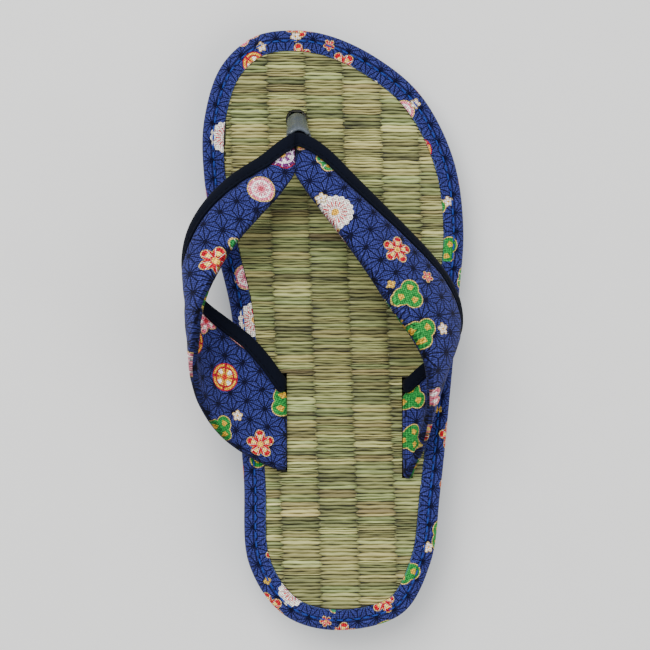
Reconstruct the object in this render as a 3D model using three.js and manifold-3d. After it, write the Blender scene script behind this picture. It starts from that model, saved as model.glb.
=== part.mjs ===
// A zori sandal for the right foot: a wedge sole of EVA foam, a rush mat insole bound with cloth,
// and padded cloth straps that start at a toe post and run down into a slit on either side.
// Millimetres, with +X to the little toe, +Y to the toes, +Z up and the origin on the floor
// under the heel. Tables hold their lengths as shares of the named sizes.
import * as THREE from 'three';
import { mergeVertices } from 'three/addons/utils/BufferGeometryUtils.js';
import Module from 'manifold-3d';

// Gap between pieces that touch
const CLEARANCE = 0.3;

// Sole
const SOLE_LENGTH = 240;
const BALL_WIDTH = 104;
const HEEL_TO_ORIGIN = 36;
const HEEL_HEIGHT = 27;
const BALL_HEIGHT = 17;
const TOE_LIFT = 4;
const WAIST_ARCH = 1.5;
const TOE_SPRING = 5;
const SOLE_EDGE_ROUND = 1.6;
const SOLE_DRAFT = 0.6;

// Rush mat insole and the cloth that binds its edge
const MAT_THICKNESS = 5;
const BINDING_WIDTH = 8.4;
const BINDING_LIP = 5;
const BINDING_CLOTH = 0.9;
const BINDING_SINK = 0.9;
const MAT_RIM_ROUND = 1.8;
const MAT_FOOT_ROUND = 0.5;

// Straps
const STRAP_RISE = 42;
const STRAP_THICKNESS = 3.6;
const STRAP_HEM = 1.3;
const HEM_SLOPE = 0.8;
const TAPE_WIDTH = 4.6;
const TAPE_THICKNESS = 0.7;
const TAIL_LENGTH = 9;

// Toe post
const TOE_HOLE_DIAMETER = 8.3;
const THONG_DIAMETER = 5;
const SLEEVE_WALL = 1.1;
const SLEEVE_FOOT_DIAMETER = 8;
const SLEEVE_HEAD_DIAMETER = 10.5;
const SLEEVE_FOOT_RISE = 2.3;
const SLEEVE_LENGTH = 20;
const SLEEVE_LEAN = 0.49;

// Facets
const RIM_STEPS = 66;
const FACE_COLUMNS = 6;
const ROUND_STEPS = 3;
const STATION_STEPS = 2;
const PAD_COLUMNS = 3;
const CIRCLE_STEPS = 20;
const THONG_STEPS = 10;
const WELD_DISTANCE = 1e-4;
const NUDGE = 1e-3;

// The last's outline, counterclockwise from the heel's back tip by the little toe's side to the
// tip of the big toe and back.
const OUTLINE = [
  { across: -0.01, along: 0 },
  { across: 0.25, along: 0.0266 },
  { across: 0.36, along: 0.11 },
  { across: 0.4, along: 0.23 },
  { across: 0.44, along: 0.385 },
  { across: 0.478, along: 0.545 },
  { across: 0.5, along: 0.672 },
  { across: 0.458, along: 0.791 },
  { across: 0.33, along: 0.895 },
  { across: 0.154, along: 0.957 },
  { across: -0.02, along: 0.991 },
  { across: -0.162, along: 1 },
  { across: -0.315, along: 0.989 },
  { across: -0.442, along: 0.94 },
  { across: -0.508, along: 0.85 },
  { across: -0.508, along: 0.757 },
  { across: -0.462, along: 0.641 },
  { across: -0.402, along: 0.525 },
  { across: -0.379, along: 0.39 },
  { across: -0.357, along: 0.25 },
  { across: -0.337, along: 0.11 },
  { across: -0.206, along: 0.0266 },
];

// Where the footbed and the tread change along the sole
const PROFILE = {
  wedgeStart: 0.1,
  wedgeEnd: 0.72,
  liftStart: 0.76,
  heelFlatEnd: 0.33,
  ballFlatStart: 0.56,
  ballFlatEnd: 0.8,
};

// The straps' sections. Each runs from the front edge, which is hemmed, to the rear edge, which
// is a fold, and bows away from the foot. Rise and bow are shares of STRAP_RISE.
const SEAM = {
  frontAcross: -0.163, frontAlong: 0.8239, frontRise: 0.405,
  rearAcross: -0.17, rearAlong: 0.7585, rearRise: 0.476, bow: 0.012,
};

const MEDIAL_ARM = [
  { frontAcross: -0.213, frontAlong: 0.8137, frontRise: 0.436,
    rearAcross: -0.19, rearAlong: 0.7433, rearRise: 0.524, bow: 0.019 },
  { frontAcross: -0.297, frontAlong: 0.7847, frontRise: 0.464,
    rearAcross: -0.231, rearAlong: 0.7183, rearRise: 0.595, bow: 0.024 },
  { frontAcross: -0.414, frontAlong: 0.7501, frontRise: 0.5,
    rearAcross: -0.305, rearAlong: 0.6833, rearRise: 0.714, bow: 0.036 },
  { frontAcross: -0.512, frontAlong: 0.7059, frontRise: 0.512,
    rearAcross: -0.392, rearAlong: 0.6406, rearRise: 0.833, bow: 0.048 },
  { frontAcross: -0.568, frontAlong: 0.6603, frontRise: 0.5,
    rearAcross: -0.456, rearAlong: 0.5985, rearRise: 0.917, bow: 0.052 },
  { frontAcross: -0.581, frontAlong: 0.6148, frontRise: 0.452,
    rearAcross: -0.505, rearAlong: 0.5582, rearRise: 0.976, bow: 0.06 },
  { frontAcross: -0.558, frontAlong: 0.5741, frontRise: 0.381,
    rearAcross: -0.534, rearAlong: 0.5198, rearRise: 0.988, bow: 0.06 },
  { frontAcross: -0.507, frontAlong: 0.5463, frontRise: 0.31,
    rearAcross: -0.545, rearAlong: 0.4829, rearRise: 0.952, bow: 0.1 },
  { frontAcross: -0.426, frontAlong: 0.52, frontRise: 0.25,
    rearAcross: -0.556, rearAlong: 0.4373, rearRise: 0.81, bow: 0.115 },
  { frontAcross: -0.329, frontAlong: 0.4885, frontRise: 0.19,
    rearAcross: -0.527, rearAlong: 0.3793, rearRise: 0.565, bow: 0.083 },
  { frontAcross: -0.262, frontAlong: 0.4568, frontRise: 0.15,
    rearAcross: -0.438, rearAlong: 0.322, rearRise: 0.33, bow: 0.05 },
  { frontAcross: -0.229, frontAlong: 0.437, frontRise: 0.117,
    rearAcross: -0.3, rearAlong: 0.2812, rearRise: 0.17, bow: 0.02 },
  { frontAcross: -0.213, frontAlong: 0.425, frontRise: 0.07,
    rearAcross: -0.216, rearAlong: 0.2667, rearRise: 0.07, bow: 0 },
];

const LATERAL_ARM = [
  { frontAcross: -0.107, frontAlong: 0.8162, frontRise: 0.436,
    rearAcross: -0.155, rearAlong: 0.7449, rearRise: 0.524, bow: 0.019 },
  { frontAcross: -0.04, frontAlong: 0.7954, frontRise: 0.46,
    rearAcross: -0.122, rearAlong: 0.7215, rearRise: 0.595, bow: 0.024 },
  { frontAcross: 0.061, frontAlong: 0.7503, frontRise: 0.476,
    rearAcross: -0.065, rearAlong: 0.6867, rearRise: 0.69, bow: 0.036 },
  { frontAcross: 0.165, frontAlong: 0.7045, frontRise: 0.476,
    rearAcross: 0.01, rearAlong: 0.6424, rearRise: 0.798, bow: 0.048 },
  { frontAcross: 0.263, frontAlong: 0.6623, frontRise: 0.44,
    rearAcross: 0.082, rearAlong: 0.597, rearRise: 0.881, bow: 0.06 },
  { frontAcross: 0.355, frontAlong: 0.6199, frontRise: 0.393,
    rearAcross: 0.15, rearAlong: 0.5503, rearRise: 0.952, bow: 0.071 },
  { frontAcross: 0.422, frontAlong: 0.5807, frontRise: 0.345,
    rearAcross: 0.208, rearAlong: 0.5134, rearRise: 0.976, bow: 0.083 },
  { frontAcross: 0.461, frontAlong: 0.5397, frontRise: 0.286,
    rearAcross: 0.261, rearAlong: 0.4813, rearRise: 0.952, bow: 0.083 },
  { frontAcross: 0.459, frontAlong: 0.5034, frontRise: 0.245,
    rearAcross: 0.301, rearAlong: 0.4491, rearRise: 0.893, bow: 0.083 },
  { frontAcross: 0.407, frontAlong: 0.4736, frontRise: 0.22,
    rearAcross: 0.321, rearAlong: 0.4068, rearRise: 0.762, bow: 0.083 },
  { frontAcross: 0.341, frontAlong: 0.449, frontRise: 0.185,
    rearAcross: 0.328, rearAlong: 0.3518, rearRise: 0.5, bow: 0.071 },
  { frontAcross: 0.293, frontAlong: 0.4305, frontRise: 0.135,
    rearAcross: 0.305, rearAlong: 0.2918, rearRise: 0.21, bow: 0.03 },
  { frontAcross: 0.274, frontAlong: 0.42, frontRise: 0.07,
    rearAcross: 0.272, rearAlong: 0.2533, rearRise: 0.07, bow: 0 },
];

// The slits that the arms go down into, and where the toe post goes through the mat
const MEDIAL_SLIT = {
  frontAcross: -0.212, frontAlong: 0.4233, rearAcross: -0.212, rearAlong: 0.2667,
};
const LATERAL_SLIT = {
  frontAcross: 0.273, frontAlong: 0.4183, rearAcross: 0.27, rearAlong: 0.2533,
};
const TOE_HOLE = { across: -0.152, along: 0.851 };

const COLOURS = {
  foam: 0x28557d,
  rush: 0x8e8c66,
  cloth: 0x2f4088,
  tape: 0x0f1428,
  sleeve: 0x4e5558,
};

const wasm = await Module();
wasm.setup();

// Heights along the sole

/** The Y of a share of the sole's length. */
function alongToY(along) {
  return along * SOLE_LENGTH - HEEL_TO_ORIGIN;
}

/** The share of the sole's length at a Y. */
function yToAlong(y) {
  return (y + HEEL_TO_ORIGIN) / SOLE_LENGTH;
}

/** How far a value lies between two others, held between 0 and 1. */
function between(value, low, high) {
  return THREE.MathUtils.clamp((value - low) / (high - low), 0, 1);
}

/** The top of the rush mat: a wedge under the heel and a slight lift at the toes. */
function footbedHeight(y) {
  const along = yToAlong(y);
  const fall = between(along, PROFILE.wedgeStart, PROFILE.wedgeEnd);
  const wedge = (1 + Math.cos(Math.PI * fall)) / 2;
  const lift = between(along, PROFILE.liftStart, 1) ** 2;
  return BALL_HEIGHT + (HEEL_HEIGHT - BALL_HEIGHT) * wedge + TOE_LIFT * lift;
}

/** The tread: flat under the heel and the ball, with an arch between and a spring at the toes. */
function treadHeight(y) {
  const along = yToAlong(y);
  const waist = between(along, PROFILE.heelFlatEnd, PROFILE.ballFlatStart);
  const arch = Math.sin(Math.PI * waist) ** 2;
  const spring = between(along, PROFILE.ballFlatEnd, 1) ** 2;
  return WAIST_ARCH * arch + TOE_SPRING * spring;
}

// Rings that follow the outline

const outline = new THREE.CatmullRomCurve3(
  OUTLINE.map(({ across, along }) => new THREE.Vector3(across * BALL_WIDTH, alongToY(along), 0)),
  true,
  'centripetal',
);

/** A ring of points inside the outline, at a height over the footbed or the tread. */
function rimRing({ inset, height, over = footbedHeight }) {
  const ring = [];
  for (let step = 0; step < RIM_STEPS; step += 1) {
    const point = outline.getPoint(step / RIM_STEPS);
    const tangent = outline.getTangent(step / RIM_STEPS);
    const x = point.x - tangent.y * inset;
    const y = point.y + tangent.x * inset;
    ring.push(new THREE.Vector3(x, y, over(y) + height));
  }
  return ring;
}

/** A mesh under construction: corners, and triangles that index them. */
class Shell {
  constructor() {
    this.corners = [];
    this.triangles = [];
  }

  add(points) {
    const first = this.corners.length;
    this.corners.push(...points);
    return points.map((_, offset) => first + offset);
  }

  triangle(a, b, c) {
    this.triangles.push(a, b, c);
  }

  /** Two triangles that meet on the shorter diagonal. */
  quad(a, b, c, d) {
    const [cornerA, cornerB, cornerC, cornerD] = [a, b, c, d].map((index) => this.corners[index]);
    if (cornerA.distanceTo(cornerC) < cornerB.distanceTo(cornerD)) {
      this.triangle(a, b, c);
      this.triangle(a, c, d);
    } else {
      this.triangle(a, b, d);
      this.triangle(b, c, d);
    }
  }

  /** A wall between two closed rings, facing out where the rings turn counterclockwise. */
  wall(lower, upper) {
    lower.forEach((corner, step) => {
      const next = (step + 1) % lower.length;
      this.quad(corner, lower[next], upper[next], upper[step]);
    });
  }

  /** Closes a rim ring with rows from its right side to its left. */
  face(ring, over, height, up) {
    const last = ring.length / 2;
    const rows = [];
    for (let row = 1; row < last; row += 1) {
      const right = this.corners[ring[row]];
      const left = this.corners[ring[ring.length - row]];
      const inner = [];
      for (let column = 1; column < FACE_COLUMNS; column += 1) {
        const point = right.clone().lerp(left, column / FACE_COLUMNS);
        point.z = over(point.y) + height;
        inner.push(point);
      }
      rows.push([ring[row], ...this.add(inner), ring[ring.length - row]]);
    }
    const facing = (a, b, c) => (up ? this.triangle(a, b, c) : this.triangle(a, c, b));
    for (let column = 0; column < FACE_COLUMNS; column += 1) {
      const nearest = rows[0];
      const farthest = rows[rows.length - 1];
      facing(ring[0], nearest[column], nearest[column + 1]);
      facing(farthest[column], ring[last], farthest[column + 1]);
      for (let row = 0; row + 1 < rows.length; row += 1) {
        facing(rows[row][column], rows[row + 1][column], rows[row + 1][column + 1]);
        facing(rows[row][column], rows[row + 1][column + 1], rows[row][column + 1]);
      }
    }
  }

  /** Closes a section whose first half of points lies opposite its second half. */
  cap(ring, forward) {
    for (let step = 0; step + 1 < ring.length / 2; step += 1) {
      const opposite = ring.length - 1 - step;
      const corners = [ring[step], ring[step + 1], ring[opposite - 1], ring[opposite]];
      this.quad(...(forward ? corners : corners.reverse()));
    }
  }

  geometry() {
    const geometry = new THREE.BufferGeometry().setFromPoints(this.corners);
    geometry.setIndex(this.triangles);
    geometry.computeVertexNormals();
    return geometry;
  }
}

/** A plate inside the outline: rings run from the rim of its underside to the rim of its top. */
function plate(rims) {
  const shell = new Shell();
  const rings = rims.map((rim) => shell.add(rimRing(rim)));
  for (let step = 0; step + 1 < rings.length; step += 1) {
    shell.wall(rings[step], rings[step + 1]);
  }
  const under = rims[0];
  const top = rims[rims.length - 1];
  shell.face(rings[0], under.over ?? footbedHeight, under.height, false);
  shell.face(rings[rings.length - 1], top.over ?? footbedHeight, top.height, true);
  return shell.geometry();
}

/** A hoop around the outline with a closed section. */
function hoop(rims) {
  const shell = new Shell();
  const rings = rims.map((rim) => shell.add(rimRing(rim)));
  rings.forEach((ring, step) => shell.wall(ring, rings[(step + 1) % rings.length]));
  return shell.geometry();
}

// Booleans

function toSolid(geometry) {
  const plain = geometry.clone();
  plain.deleteAttribute('normal');
  plain.deleteAttribute('uv');
  const welded = mergeVertices(plain, WELD_DISTANCE);
  return new wasm.Manifold(new wasm.Mesh({
    numProp: 3,
    vertProperties: new Float32Array(welded.attributes.position.array),
    triVerts: new Uint32Array(welded.index.array),
  }));
}

function toGeometry(solid) {
  const mesh = solid.getMesh();
  const geometry = new THREE.BufferGeometry();
  geometry.setAttribute('position', new THREE.BufferAttribute(mesh.vertProperties, mesh.numProp));
  geometry.setIndex(new THREE.BufferAttribute(mesh.triVerts, 1));
  geometry.computeVertexNormals();
  return geometry;
}

function cut(geometry, tools) {
  const solid = tools.reduce((rest, tool) => rest.subtract(toSolid(tool)), toSolid(geometry));
  return toGeometry(solid);
}

// Straps

const BAND_HALF = Math.max(STRAP_THICKNESS / 2, STRAP_HEM / 2 + CLEARANCE + TAPE_THICKNESS);
const NOSE_CENTRE = STRAP_HEM / 2 + CLEARANCE + TAPE_THICKNESS;

/** A point over the footbed from shares of width, length and strap rise. */
function footbedPoint(across, along, height) {
  const y = alongToY(along);
  return new THREE.Vector3(across * BALL_WIDTH, y, footbedHeight(y) + height);
}

function toStation(row) {
  return {
    front: footbedPoint(row.frontAcross, row.frontAlong, row.frontRise * STRAP_RISE),
    rear: footbedPoint(row.rearAcross, row.rearAlong, row.rearRise * STRAP_RISE),
    bow: row.bow * STRAP_RISE,
  };
}

/** The straight end of an arm, at a depth in its slit. */
function tail({ frontAcross, frontAlong, rearAcross, rearAlong }, depth) {
  return {
    front: footbedPoint(frontAcross, frontAlong, -depth),
    rear: footbedPoint(rearAcross, rearAlong, -depth),
    bow: 0,
  };
}

const stations = [
  tail(MEDIAL_SLIT, TAIL_LENGTH),
  tail(MEDIAL_SLIT, 0),
  ...[...MEDIAL_ARM].reverse().map(toStation),
  toStation(SEAM),
  ...LATERAL_ARM.map(toStation),
  tail(LATERAL_SLIT, 0),
  tail(LATERAL_SLIT, TAIL_LENGTH),
];

/** The point of a station's arc that lies furthest from the foot. */
function crown(station, index) {
  const before = stations[Math.max(index - 1, 0)];
  const after = stations[Math.min(index + 1, stations.length - 1)];
  const path = after.front.clone().add(after.rear).sub(before.front).sub(before.rear);
  const width = station.rear.clone().sub(station.front);
  const outward = width.cross(path).normalize();
  const middle = station.front.clone().lerp(station.rear, 0.5);
  return middle.addScaledVector(outward, station.bow);
}

const guides = {
  front: new THREE.CatmullRomCurve3(stations.map((station) => station.front)),
  crown: new THREE.CatmullRomCurve3(stations.map(crown)),
  rear: new THREE.CatmullRomCurve3(stations.map((station) => station.rear)),
};

/** A point of the straps' middle surface, from 0 at the front edge to 1 at the rear edge. */
function bandPoint(at, share) {
  const front = guides.front.getPoint(at);
  const rear = guides.rear.getPoint(at);
  const middle = front.clone().lerp(rear, 0.5);
  const bow = guides.crown.getPoint(at).sub(middle);
  return front.lerp(rear, share).addScaledVector(bow, 4 * share * (1 - share));
}

function bandWidth(at) {
  const middle = bandPoint(at, 0.5);
  return middle.distanceTo(bandPoint(at, 0)) + middle.distanceTo(bandPoint(at, 1));
}

/** How much longer a step across the band is than its distance from the hemmed edge. */
function hemSlant(at) {
  const early = Math.max(at - NUDGE, 0);
  const late = Math.min(at + NUDGE, 1);
  const forward = bandPoint(late, 0).sub(bandPoint(early, 0)).normalize();
  const rearward = bandPoint(at, NUDGE).sub(bandPoint(at, 0)).normalize();
  return 1 / rearward.cross(forward).length();
}

/** A point beside the middle surface, at a distance from the front edge and a height over it. */
function bandOffset(at, width, { distance, height }) {
  const share = distance / width;
  const early = Math.max(at - NUDGE, 0);
  const late = Math.min(at + NUDGE, 1);
  const forward = bandPoint(late, share).sub(bandPoint(early, share));
  const rearward = bandPoint(at, share + NUDGE).sub(bandPoint(at, share - NUDGE));
  const outward = rearward.cross(forward).normalize();
  return bandPoint(at, share).addScaledVector(outward, height);
}

/** Points on a half circle around the hem's edge, from its foot side to its outer side. */
function nose(radius) {
  const points = [];
  for (let step = -ROUND_STEPS; step <= ROUND_STEPS; step += 1) {
    const angle = (step / ROUND_STEPS) * (Math.PI / 2);
    points.push({
      distance: NOSE_CENTRE - radius * Math.cos(angle),
      height: radius * Math.sin(angle),
    });
  }
  return points;
}

/** One face of the padded strap, from its thin hem to the rounded fold at the rear. */
function padFace(width, slant) {
  const hem = STRAP_HEM / 2;
  const half = STRAP_THICKNESS / 2;
  const hemEnd = TAPE_WIDTH + CLEARANCE;
  const padStart = hemEnd + HEM_SLOPE;
  const points = [
    { distance: (NOSE_CENTRE - hem) * slant, height: hem / 2 },
    { distance: NOSE_CENTRE * slant, height: hem },
    { distance: hemEnd * slant, height: hem },
  ];
  for (let column = 0; column <= PAD_COLUMNS; column += 1) {
    const distance = THREE.MathUtils.lerp(padStart * slant, width - half, column / PAD_COLUMNS);
    points.push({ distance, height: half });
  }
  for (let step = 1; step < ROUND_STEPS; step += 1) {
    const angle = (step / ROUND_STEPS) * (Math.PI / 2);
    points.push({
      distance: width - half + half * Math.sin(angle),
      height: half * Math.cos(angle),
    });
  }
  return points;
}

function mirrored(points) {
  return points.map(({ distance, height }) => ({ distance, height: -height }));
}

/** The padded strap's closed section. */
function padSection(width, slant) {
  const face = padFace(width, slant);
  return [...face, ...mirrored(face).reverse()];
}

/** The tape's closed section: a channel around the hem. */
function tapeSection(width, slant) {
  const inner = STRAP_HEM / 2 + CLEARANCE;
  const outer = inner + TAPE_THICKNESS;
  const outside = [
    { distance: TAPE_WIDTH, height: -outer },
    ...nose(outer),
    { distance: TAPE_WIDTH, height: outer },
  ];
  const inside = [
    { distance: TAPE_WIDTH, height: -inner },
    ...nose(inner),
    { distance: TAPE_WIDTH, height: inner },
  ];
  const section = [...outside, ...inside.reverse()];
  return section.map(({ distance, height }) => ({ distance: distance * slant, height }));
}

/** Sweeps a section of the band from one tail to the other. */
function bandSolid(section) {
  const shell = new Shell();
  const steps = (stations.length - 1) * STATION_STEPS;
  const rings = [];
  for (let step = 0; step <= steps; step += 1) {
    const at = step / steps;
    const width = bandWidth(at);
    const places = section(width, hemSlant(at));
    rings.push(shell.add(places.map((place) => bandOffset(at, width, place))));
  }
  for (let step = 0; step < steps; step += 1) {
    shell.wall(rings[step], rings[step + 1]);
  }
  shell.cap(rings[0], false);
  shell.cap(rings[steps], true);
  return shell.geometry();
}

/** The room that an arm's tail needs in the mat and the sole. */
function slitTool(slit) {
  const low = tail(slit, TAIL_LENGTH + CLEARANCE);
  const high = tail(slit, -TAIL_LENGTH);
  const run = low.front.clone().sub(low.rear).setZ(0);
  const floor = Math.min(low.front.z, low.rear.z);
  const top = Math.max(high.front.z, high.rear.z);
  const tool = new THREE.BoxGeometry(
    2 * (BAND_HALF + CLEARANCE),
    run.length() + 2 * CLEARANCE,
    top - floor,
  );
  tool.rotateZ(-Math.atan2(run.x, run.y));
  const middle = low.front.clone().lerp(low.rear, 0.5);
  tool.translate(middle.x, middle.y, (floor + top) / 2);
  return tool;
}

// Toe post

const toeHole = footbedPoint(TOE_HOLE.across, TOE_HOLE.along, 0);
const postDirection = new THREE.Vector3(0, -Math.sin(SLEEVE_LEAN), Math.cos(SLEEVE_LEAN));
const sleeveFoot = toeHole.clone().addScaledVector(postDirection, SLEEVE_FOOT_RISE);

/** A vertical cylinder around the toe hole's axis, between two heights over the footbed. */
function toeHoleTool(diameter, low, high) {
  const tool = new THREE.CylinderGeometry(diameter / 2, diameter / 2, high - low, CIRCLE_STEPS);
  tool.rotateX(Math.PI / 2);
  tool.translate(toeHole.x, toeHole.y, toeHole.z + (low + high) / 2);
  return tool;
}

/** A block that keeps the toe post clear of the straps' underside at their seam. */
function underStrapTool() {
  const { front, rear } = toStation(SEAM);
  const size = SLEEVE_LENGTH * 3;
  const slope = Math.atan2(rear.z - front.z, front.y - rear.y);
  const tool = new THREE.BoxGeometry(size, size, size);
  tool.translate(0, 0, size / 2 - BAND_HALF - CLEARANCE);
  tool.rotateX(-slope);
  tool.translate(front.x, front.y, front.z);
  return tool;
}

/** The clear plastic tube over the thong, wider at its head. */
function sleeveSolid() {
  const foot = SLEEVE_FOOT_DIAMETER / 2;
  const head = SLEEVE_HEAD_DIAMETER / 2;
  const profile = [
    new THREE.Vector2(foot - SLEEVE_WALL, 0),
    new THREE.Vector2(foot, 0),
    new THREE.Vector2(head, SLEEVE_LENGTH),
    new THREE.Vector2(head - SLEEVE_WALL, SLEEVE_LENGTH),
    new THREE.Vector2(foot - SLEEVE_WALL, 0),
  ];
  const tube = new THREE.LatheGeometry(profile, CIRCLE_STEPS);
  const turn = new THREE.Quaternion();
  turn.setFromUnitVectors(new THREE.Vector3(0, 1, 0), postDirection);
  tube.applyQuaternion(turn);
  tube.translate(...sleeveFoot);
  return cut(tube, [underStrapTool()]);
}

/** The cloth thong: down the sleeve's axis, then straight down in the hole. */
function thongSolid() {
  const path = new THREE.CatmullRomCurve3([
    sleeveFoot.clone().addScaledVector(postDirection, SLEEVE_LENGTH),
    sleeveFoot.clone().addScaledVector(postDirection, SLEEVE_LENGTH / 2),
    sleeveFoot,
    toeHole.clone().setZ(toeHole.z - MAT_THICKNESS),
    toeHole.clone().setZ(toeHole.z - TAIL_LENGTH),
  ]);
  const section = new THREE.Shape();
  section.absarc(0, 0, THONG_DIAMETER / 2, 0, Math.PI * 2);
  const cord = new THREE.ExtrudeGeometry(section, {
    steps: THONG_STEPS,
    extrudePath: path,
    curveSegments: CIRCLE_STEPS / 4,
  });
  return cut(cord, [underStrapTool()]);
}

// Mat, binding and sole

/** The section around the mat's rim, a distance out from it, from the lip to the flange. */
function rimPath(distance) {
  const wall = BINDING_CLOTH + CLEARANCE;
  const path = [{ inset: BINDING_LIP, height: -MAT_THICKNESS - distance }];
  for (let step = 0; step <= ROUND_STEPS; step += 1) {
    const angle = (step / ROUND_STEPS) * (Math.PI / 2);
    const radius = MAT_FOOT_ROUND + distance;
    path.push({
      inset: wall + MAT_FOOT_ROUND - radius * Math.sin(angle),
      height: MAT_FOOT_ROUND - MAT_THICKNESS - radius * Math.cos(angle),
    });
  }
  for (let step = 0; step <= ROUND_STEPS; step += 1) {
    const angle = (step / ROUND_STEPS) * (Math.PI / 2);
    const radius = MAT_RIM_ROUND + distance;
    path.push({
      inset: wall + MAT_RIM_ROUND - radius * Math.cos(angle),
      height: radius * Math.sin(angle) - MAT_RIM_ROUND - BINDING_SINK,
    });
  }
  path.push({ inset: BINDING_WIDTH, height: distance - BINDING_SINK });
  return path;
}

function insoleSolid() {
  const mat = plate([
    ...rimPath(0),
    { inset: BINDING_WIDTH + CLEARANCE, height: -BINDING_SINK },
    { inset: BINDING_WIDTH + CLEARANCE + BINDING_SINK / 2, height: 0 },
  ]);
  const through = 2 * MAT_THICKNESS;
  return cut(mat, [
    slitTool(MEDIAL_SLIT),
    slitTool(LATERAL_SLIT),
    toeHoleTool(TOE_HOLE_DIAMETER, -through, through),
  ]);
}

function bindingSolid() {
  const outside = rimPath(CLEARANCE + BINDING_CLOTH);
  const inside = rimPath(CLEARANCE);
  return hoop([...outside, ...inside.reverse()]);
}

function outsoleSolid() {
  const seat = -MAT_THICKNESS - CLEARANCE;
  const rebate = seat - BINDING_CLOTH - CLEARANCE;
  const lipEnd = BINDING_LIP + CLEARANCE;
  const foot = CLEARANCE + SOLE_DRAFT;
  const rims = [{ inset: foot + SOLE_EDGE_ROUND, height: 0, over: treadHeight }];
  for (let step = 1; step <= ROUND_STEPS; step += 1) {
    const angle = (step / ROUND_STEPS) * (Math.PI / 2);
    rims.push({
      inset: foot + SOLE_EDGE_ROUND * (1 - Math.sin(angle)),
      height: SOLE_EDGE_ROUND * (1 - Math.cos(angle)),
      over: treadHeight,
    });
  }
  rims.push({ inset: CLEARANCE, height: rebate });
  rims.push({ inset: lipEnd, height: rebate });
  rims.push({ inset: lipEnd, height: seat });
  const pocket = THONG_DIAMETER + 2 * CLEARANCE;
  return cut(plate(rims), [
    slitTool(MEDIAL_SLIT),
    slitTool(LATERAL_SLIT),
    toeHoleTool(pocket, -TAIL_LENGTH - CLEARANCE, MAT_THICKNESS),
  ]);
}

// Scene

function piece(name, geometry, color, roughness) {
  const material = new THREE.MeshStandardMaterial({ color, roughness, metalness: 0 });
  const mesh = new THREE.Mesh(geometry, material);
  mesh.name = name;
  return mesh;
}

const sandal = new THREE.Group();
sandal.name = 'zori_sandal_right';
sandal.add(
  piece('outsole', outsoleSolid(), COLOURS.foam, 0.75),
  piece('insole_mat', insoleSolid(), COLOURS.rush, 0.7),
  piece('edge_binding', bindingSolid(), COLOURS.cloth, 0.9),
  piece('strap_upper', bandSolid(padSection), COLOURS.cloth, 0.9),
  piece('strap_tape', bandSolid(tapeSection), COLOURS.tape, 0.9),
  piece('toe_thong', thongSolid(), COLOURS.tape, 0.85),
  piece('toe_sleeve', sleeveSolid(), COLOURS.sleeve, 0.25),
);

export default sandal;
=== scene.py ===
"""A zori sandal for the right foot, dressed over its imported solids.

A wedge sole of EVA foam carries a rush mat insole. Printed cotton binds the mat's edge and
covers the padded straps, whose front hem is bound with navy tape. A cloth thong in a clear
vinyl sleeve joins the straps to the toe hole.

Lengths are in millimetres until a mesh is made, and +X is the little toe's side, +Y the toes.
"""

import logging
import math
from collections.abc import Callable
from dataclasses import dataclass, field
from enum import Enum

import bpy
import numpy as np
from bpy.types import Material, Node, NodeSocket, NodeTree, Object
from mathutils import Matrix, Vector


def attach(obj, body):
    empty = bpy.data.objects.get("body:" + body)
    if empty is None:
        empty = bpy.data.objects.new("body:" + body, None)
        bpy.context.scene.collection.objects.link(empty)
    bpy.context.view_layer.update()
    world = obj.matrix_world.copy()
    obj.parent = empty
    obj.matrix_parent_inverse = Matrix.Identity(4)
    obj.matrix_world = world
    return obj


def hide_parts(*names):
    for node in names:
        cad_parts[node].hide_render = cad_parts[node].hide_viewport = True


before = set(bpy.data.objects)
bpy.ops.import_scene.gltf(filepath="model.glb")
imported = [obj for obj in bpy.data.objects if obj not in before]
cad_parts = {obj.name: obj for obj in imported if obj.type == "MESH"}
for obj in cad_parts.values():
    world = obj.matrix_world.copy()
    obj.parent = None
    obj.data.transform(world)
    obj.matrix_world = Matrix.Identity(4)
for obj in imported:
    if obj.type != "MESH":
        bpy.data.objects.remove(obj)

Array = np.ndarray
Pair = tuple[float, float]

LOG = logging.getLogger("zori")
MM = 0.001
BODY = "root"
CLEARANCE = 0.3
SEED = 7


class Slot(Enum):
    """The record's finish slots."""

    FOAM = "eva_foam"
    RUSH = "rush"
    CLOTH = "printed_cloth"
    TAPE = "navy_tape"
    SLEEVE = "clear_sleeve"


class Side(Enum):
    """Which face of a strap."""

    OUTER = 1.0
    FOOT = -1.0


# Small helpers


def linear(colour: str, alpha: float = 1.0) -> tuple[float, float, float, float]:
    """Turns an sRGB hex colour into linear light.

    Args:
        colour: Six hex digits.
        alpha: The fourth channel.

    Returns:
        Red, green, blue and alpha.
    """
    channels = [int(colour[place : place + 2], 16) / 255 for place in (0, 2, 4)]
    curved = [c / 12.92 if c <= 0.04045 else ((c + 0.055) / 1.055) ** 2.4 for c in channels]
    return (*curved, alpha)


def add_node(tree: NodeTree, kind: str, inputs: dict | None = None, **settings: object) -> Node:
    """Adds a node, sets it up and feeds its inputs.

    Args:
        tree: The material's node tree.
        kind: The node's type.
        inputs: Values, sockets or nodes, by the input's name or number.
        **settings: The node's own properties.

    Returns:
        The new node.
    """
    node = tree.nodes.new(kind)
    for name, value in settings.items():
        setattr(node, name, value)
    for key, value in (inputs or {}).items():
        if isinstance(value, Node):
            value = value.outputs[0]
        if isinstance(value, NodeSocket):
            tree.links.new(value, node.inputs[key])
        else:
            node.inputs[key].default_value = value
    return node


def between(value: Array, low: float, high: float) -> Array:
    """Returns how far a value lies between two others, held between 0 and 1."""
    return np.clip((value - low) / (high - low), 0.0, 1.0)


def smooth(share: Array) -> Array:
    """Returns a share eased at both of its ends."""
    return share * share * (3 - 2 * share)


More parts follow.
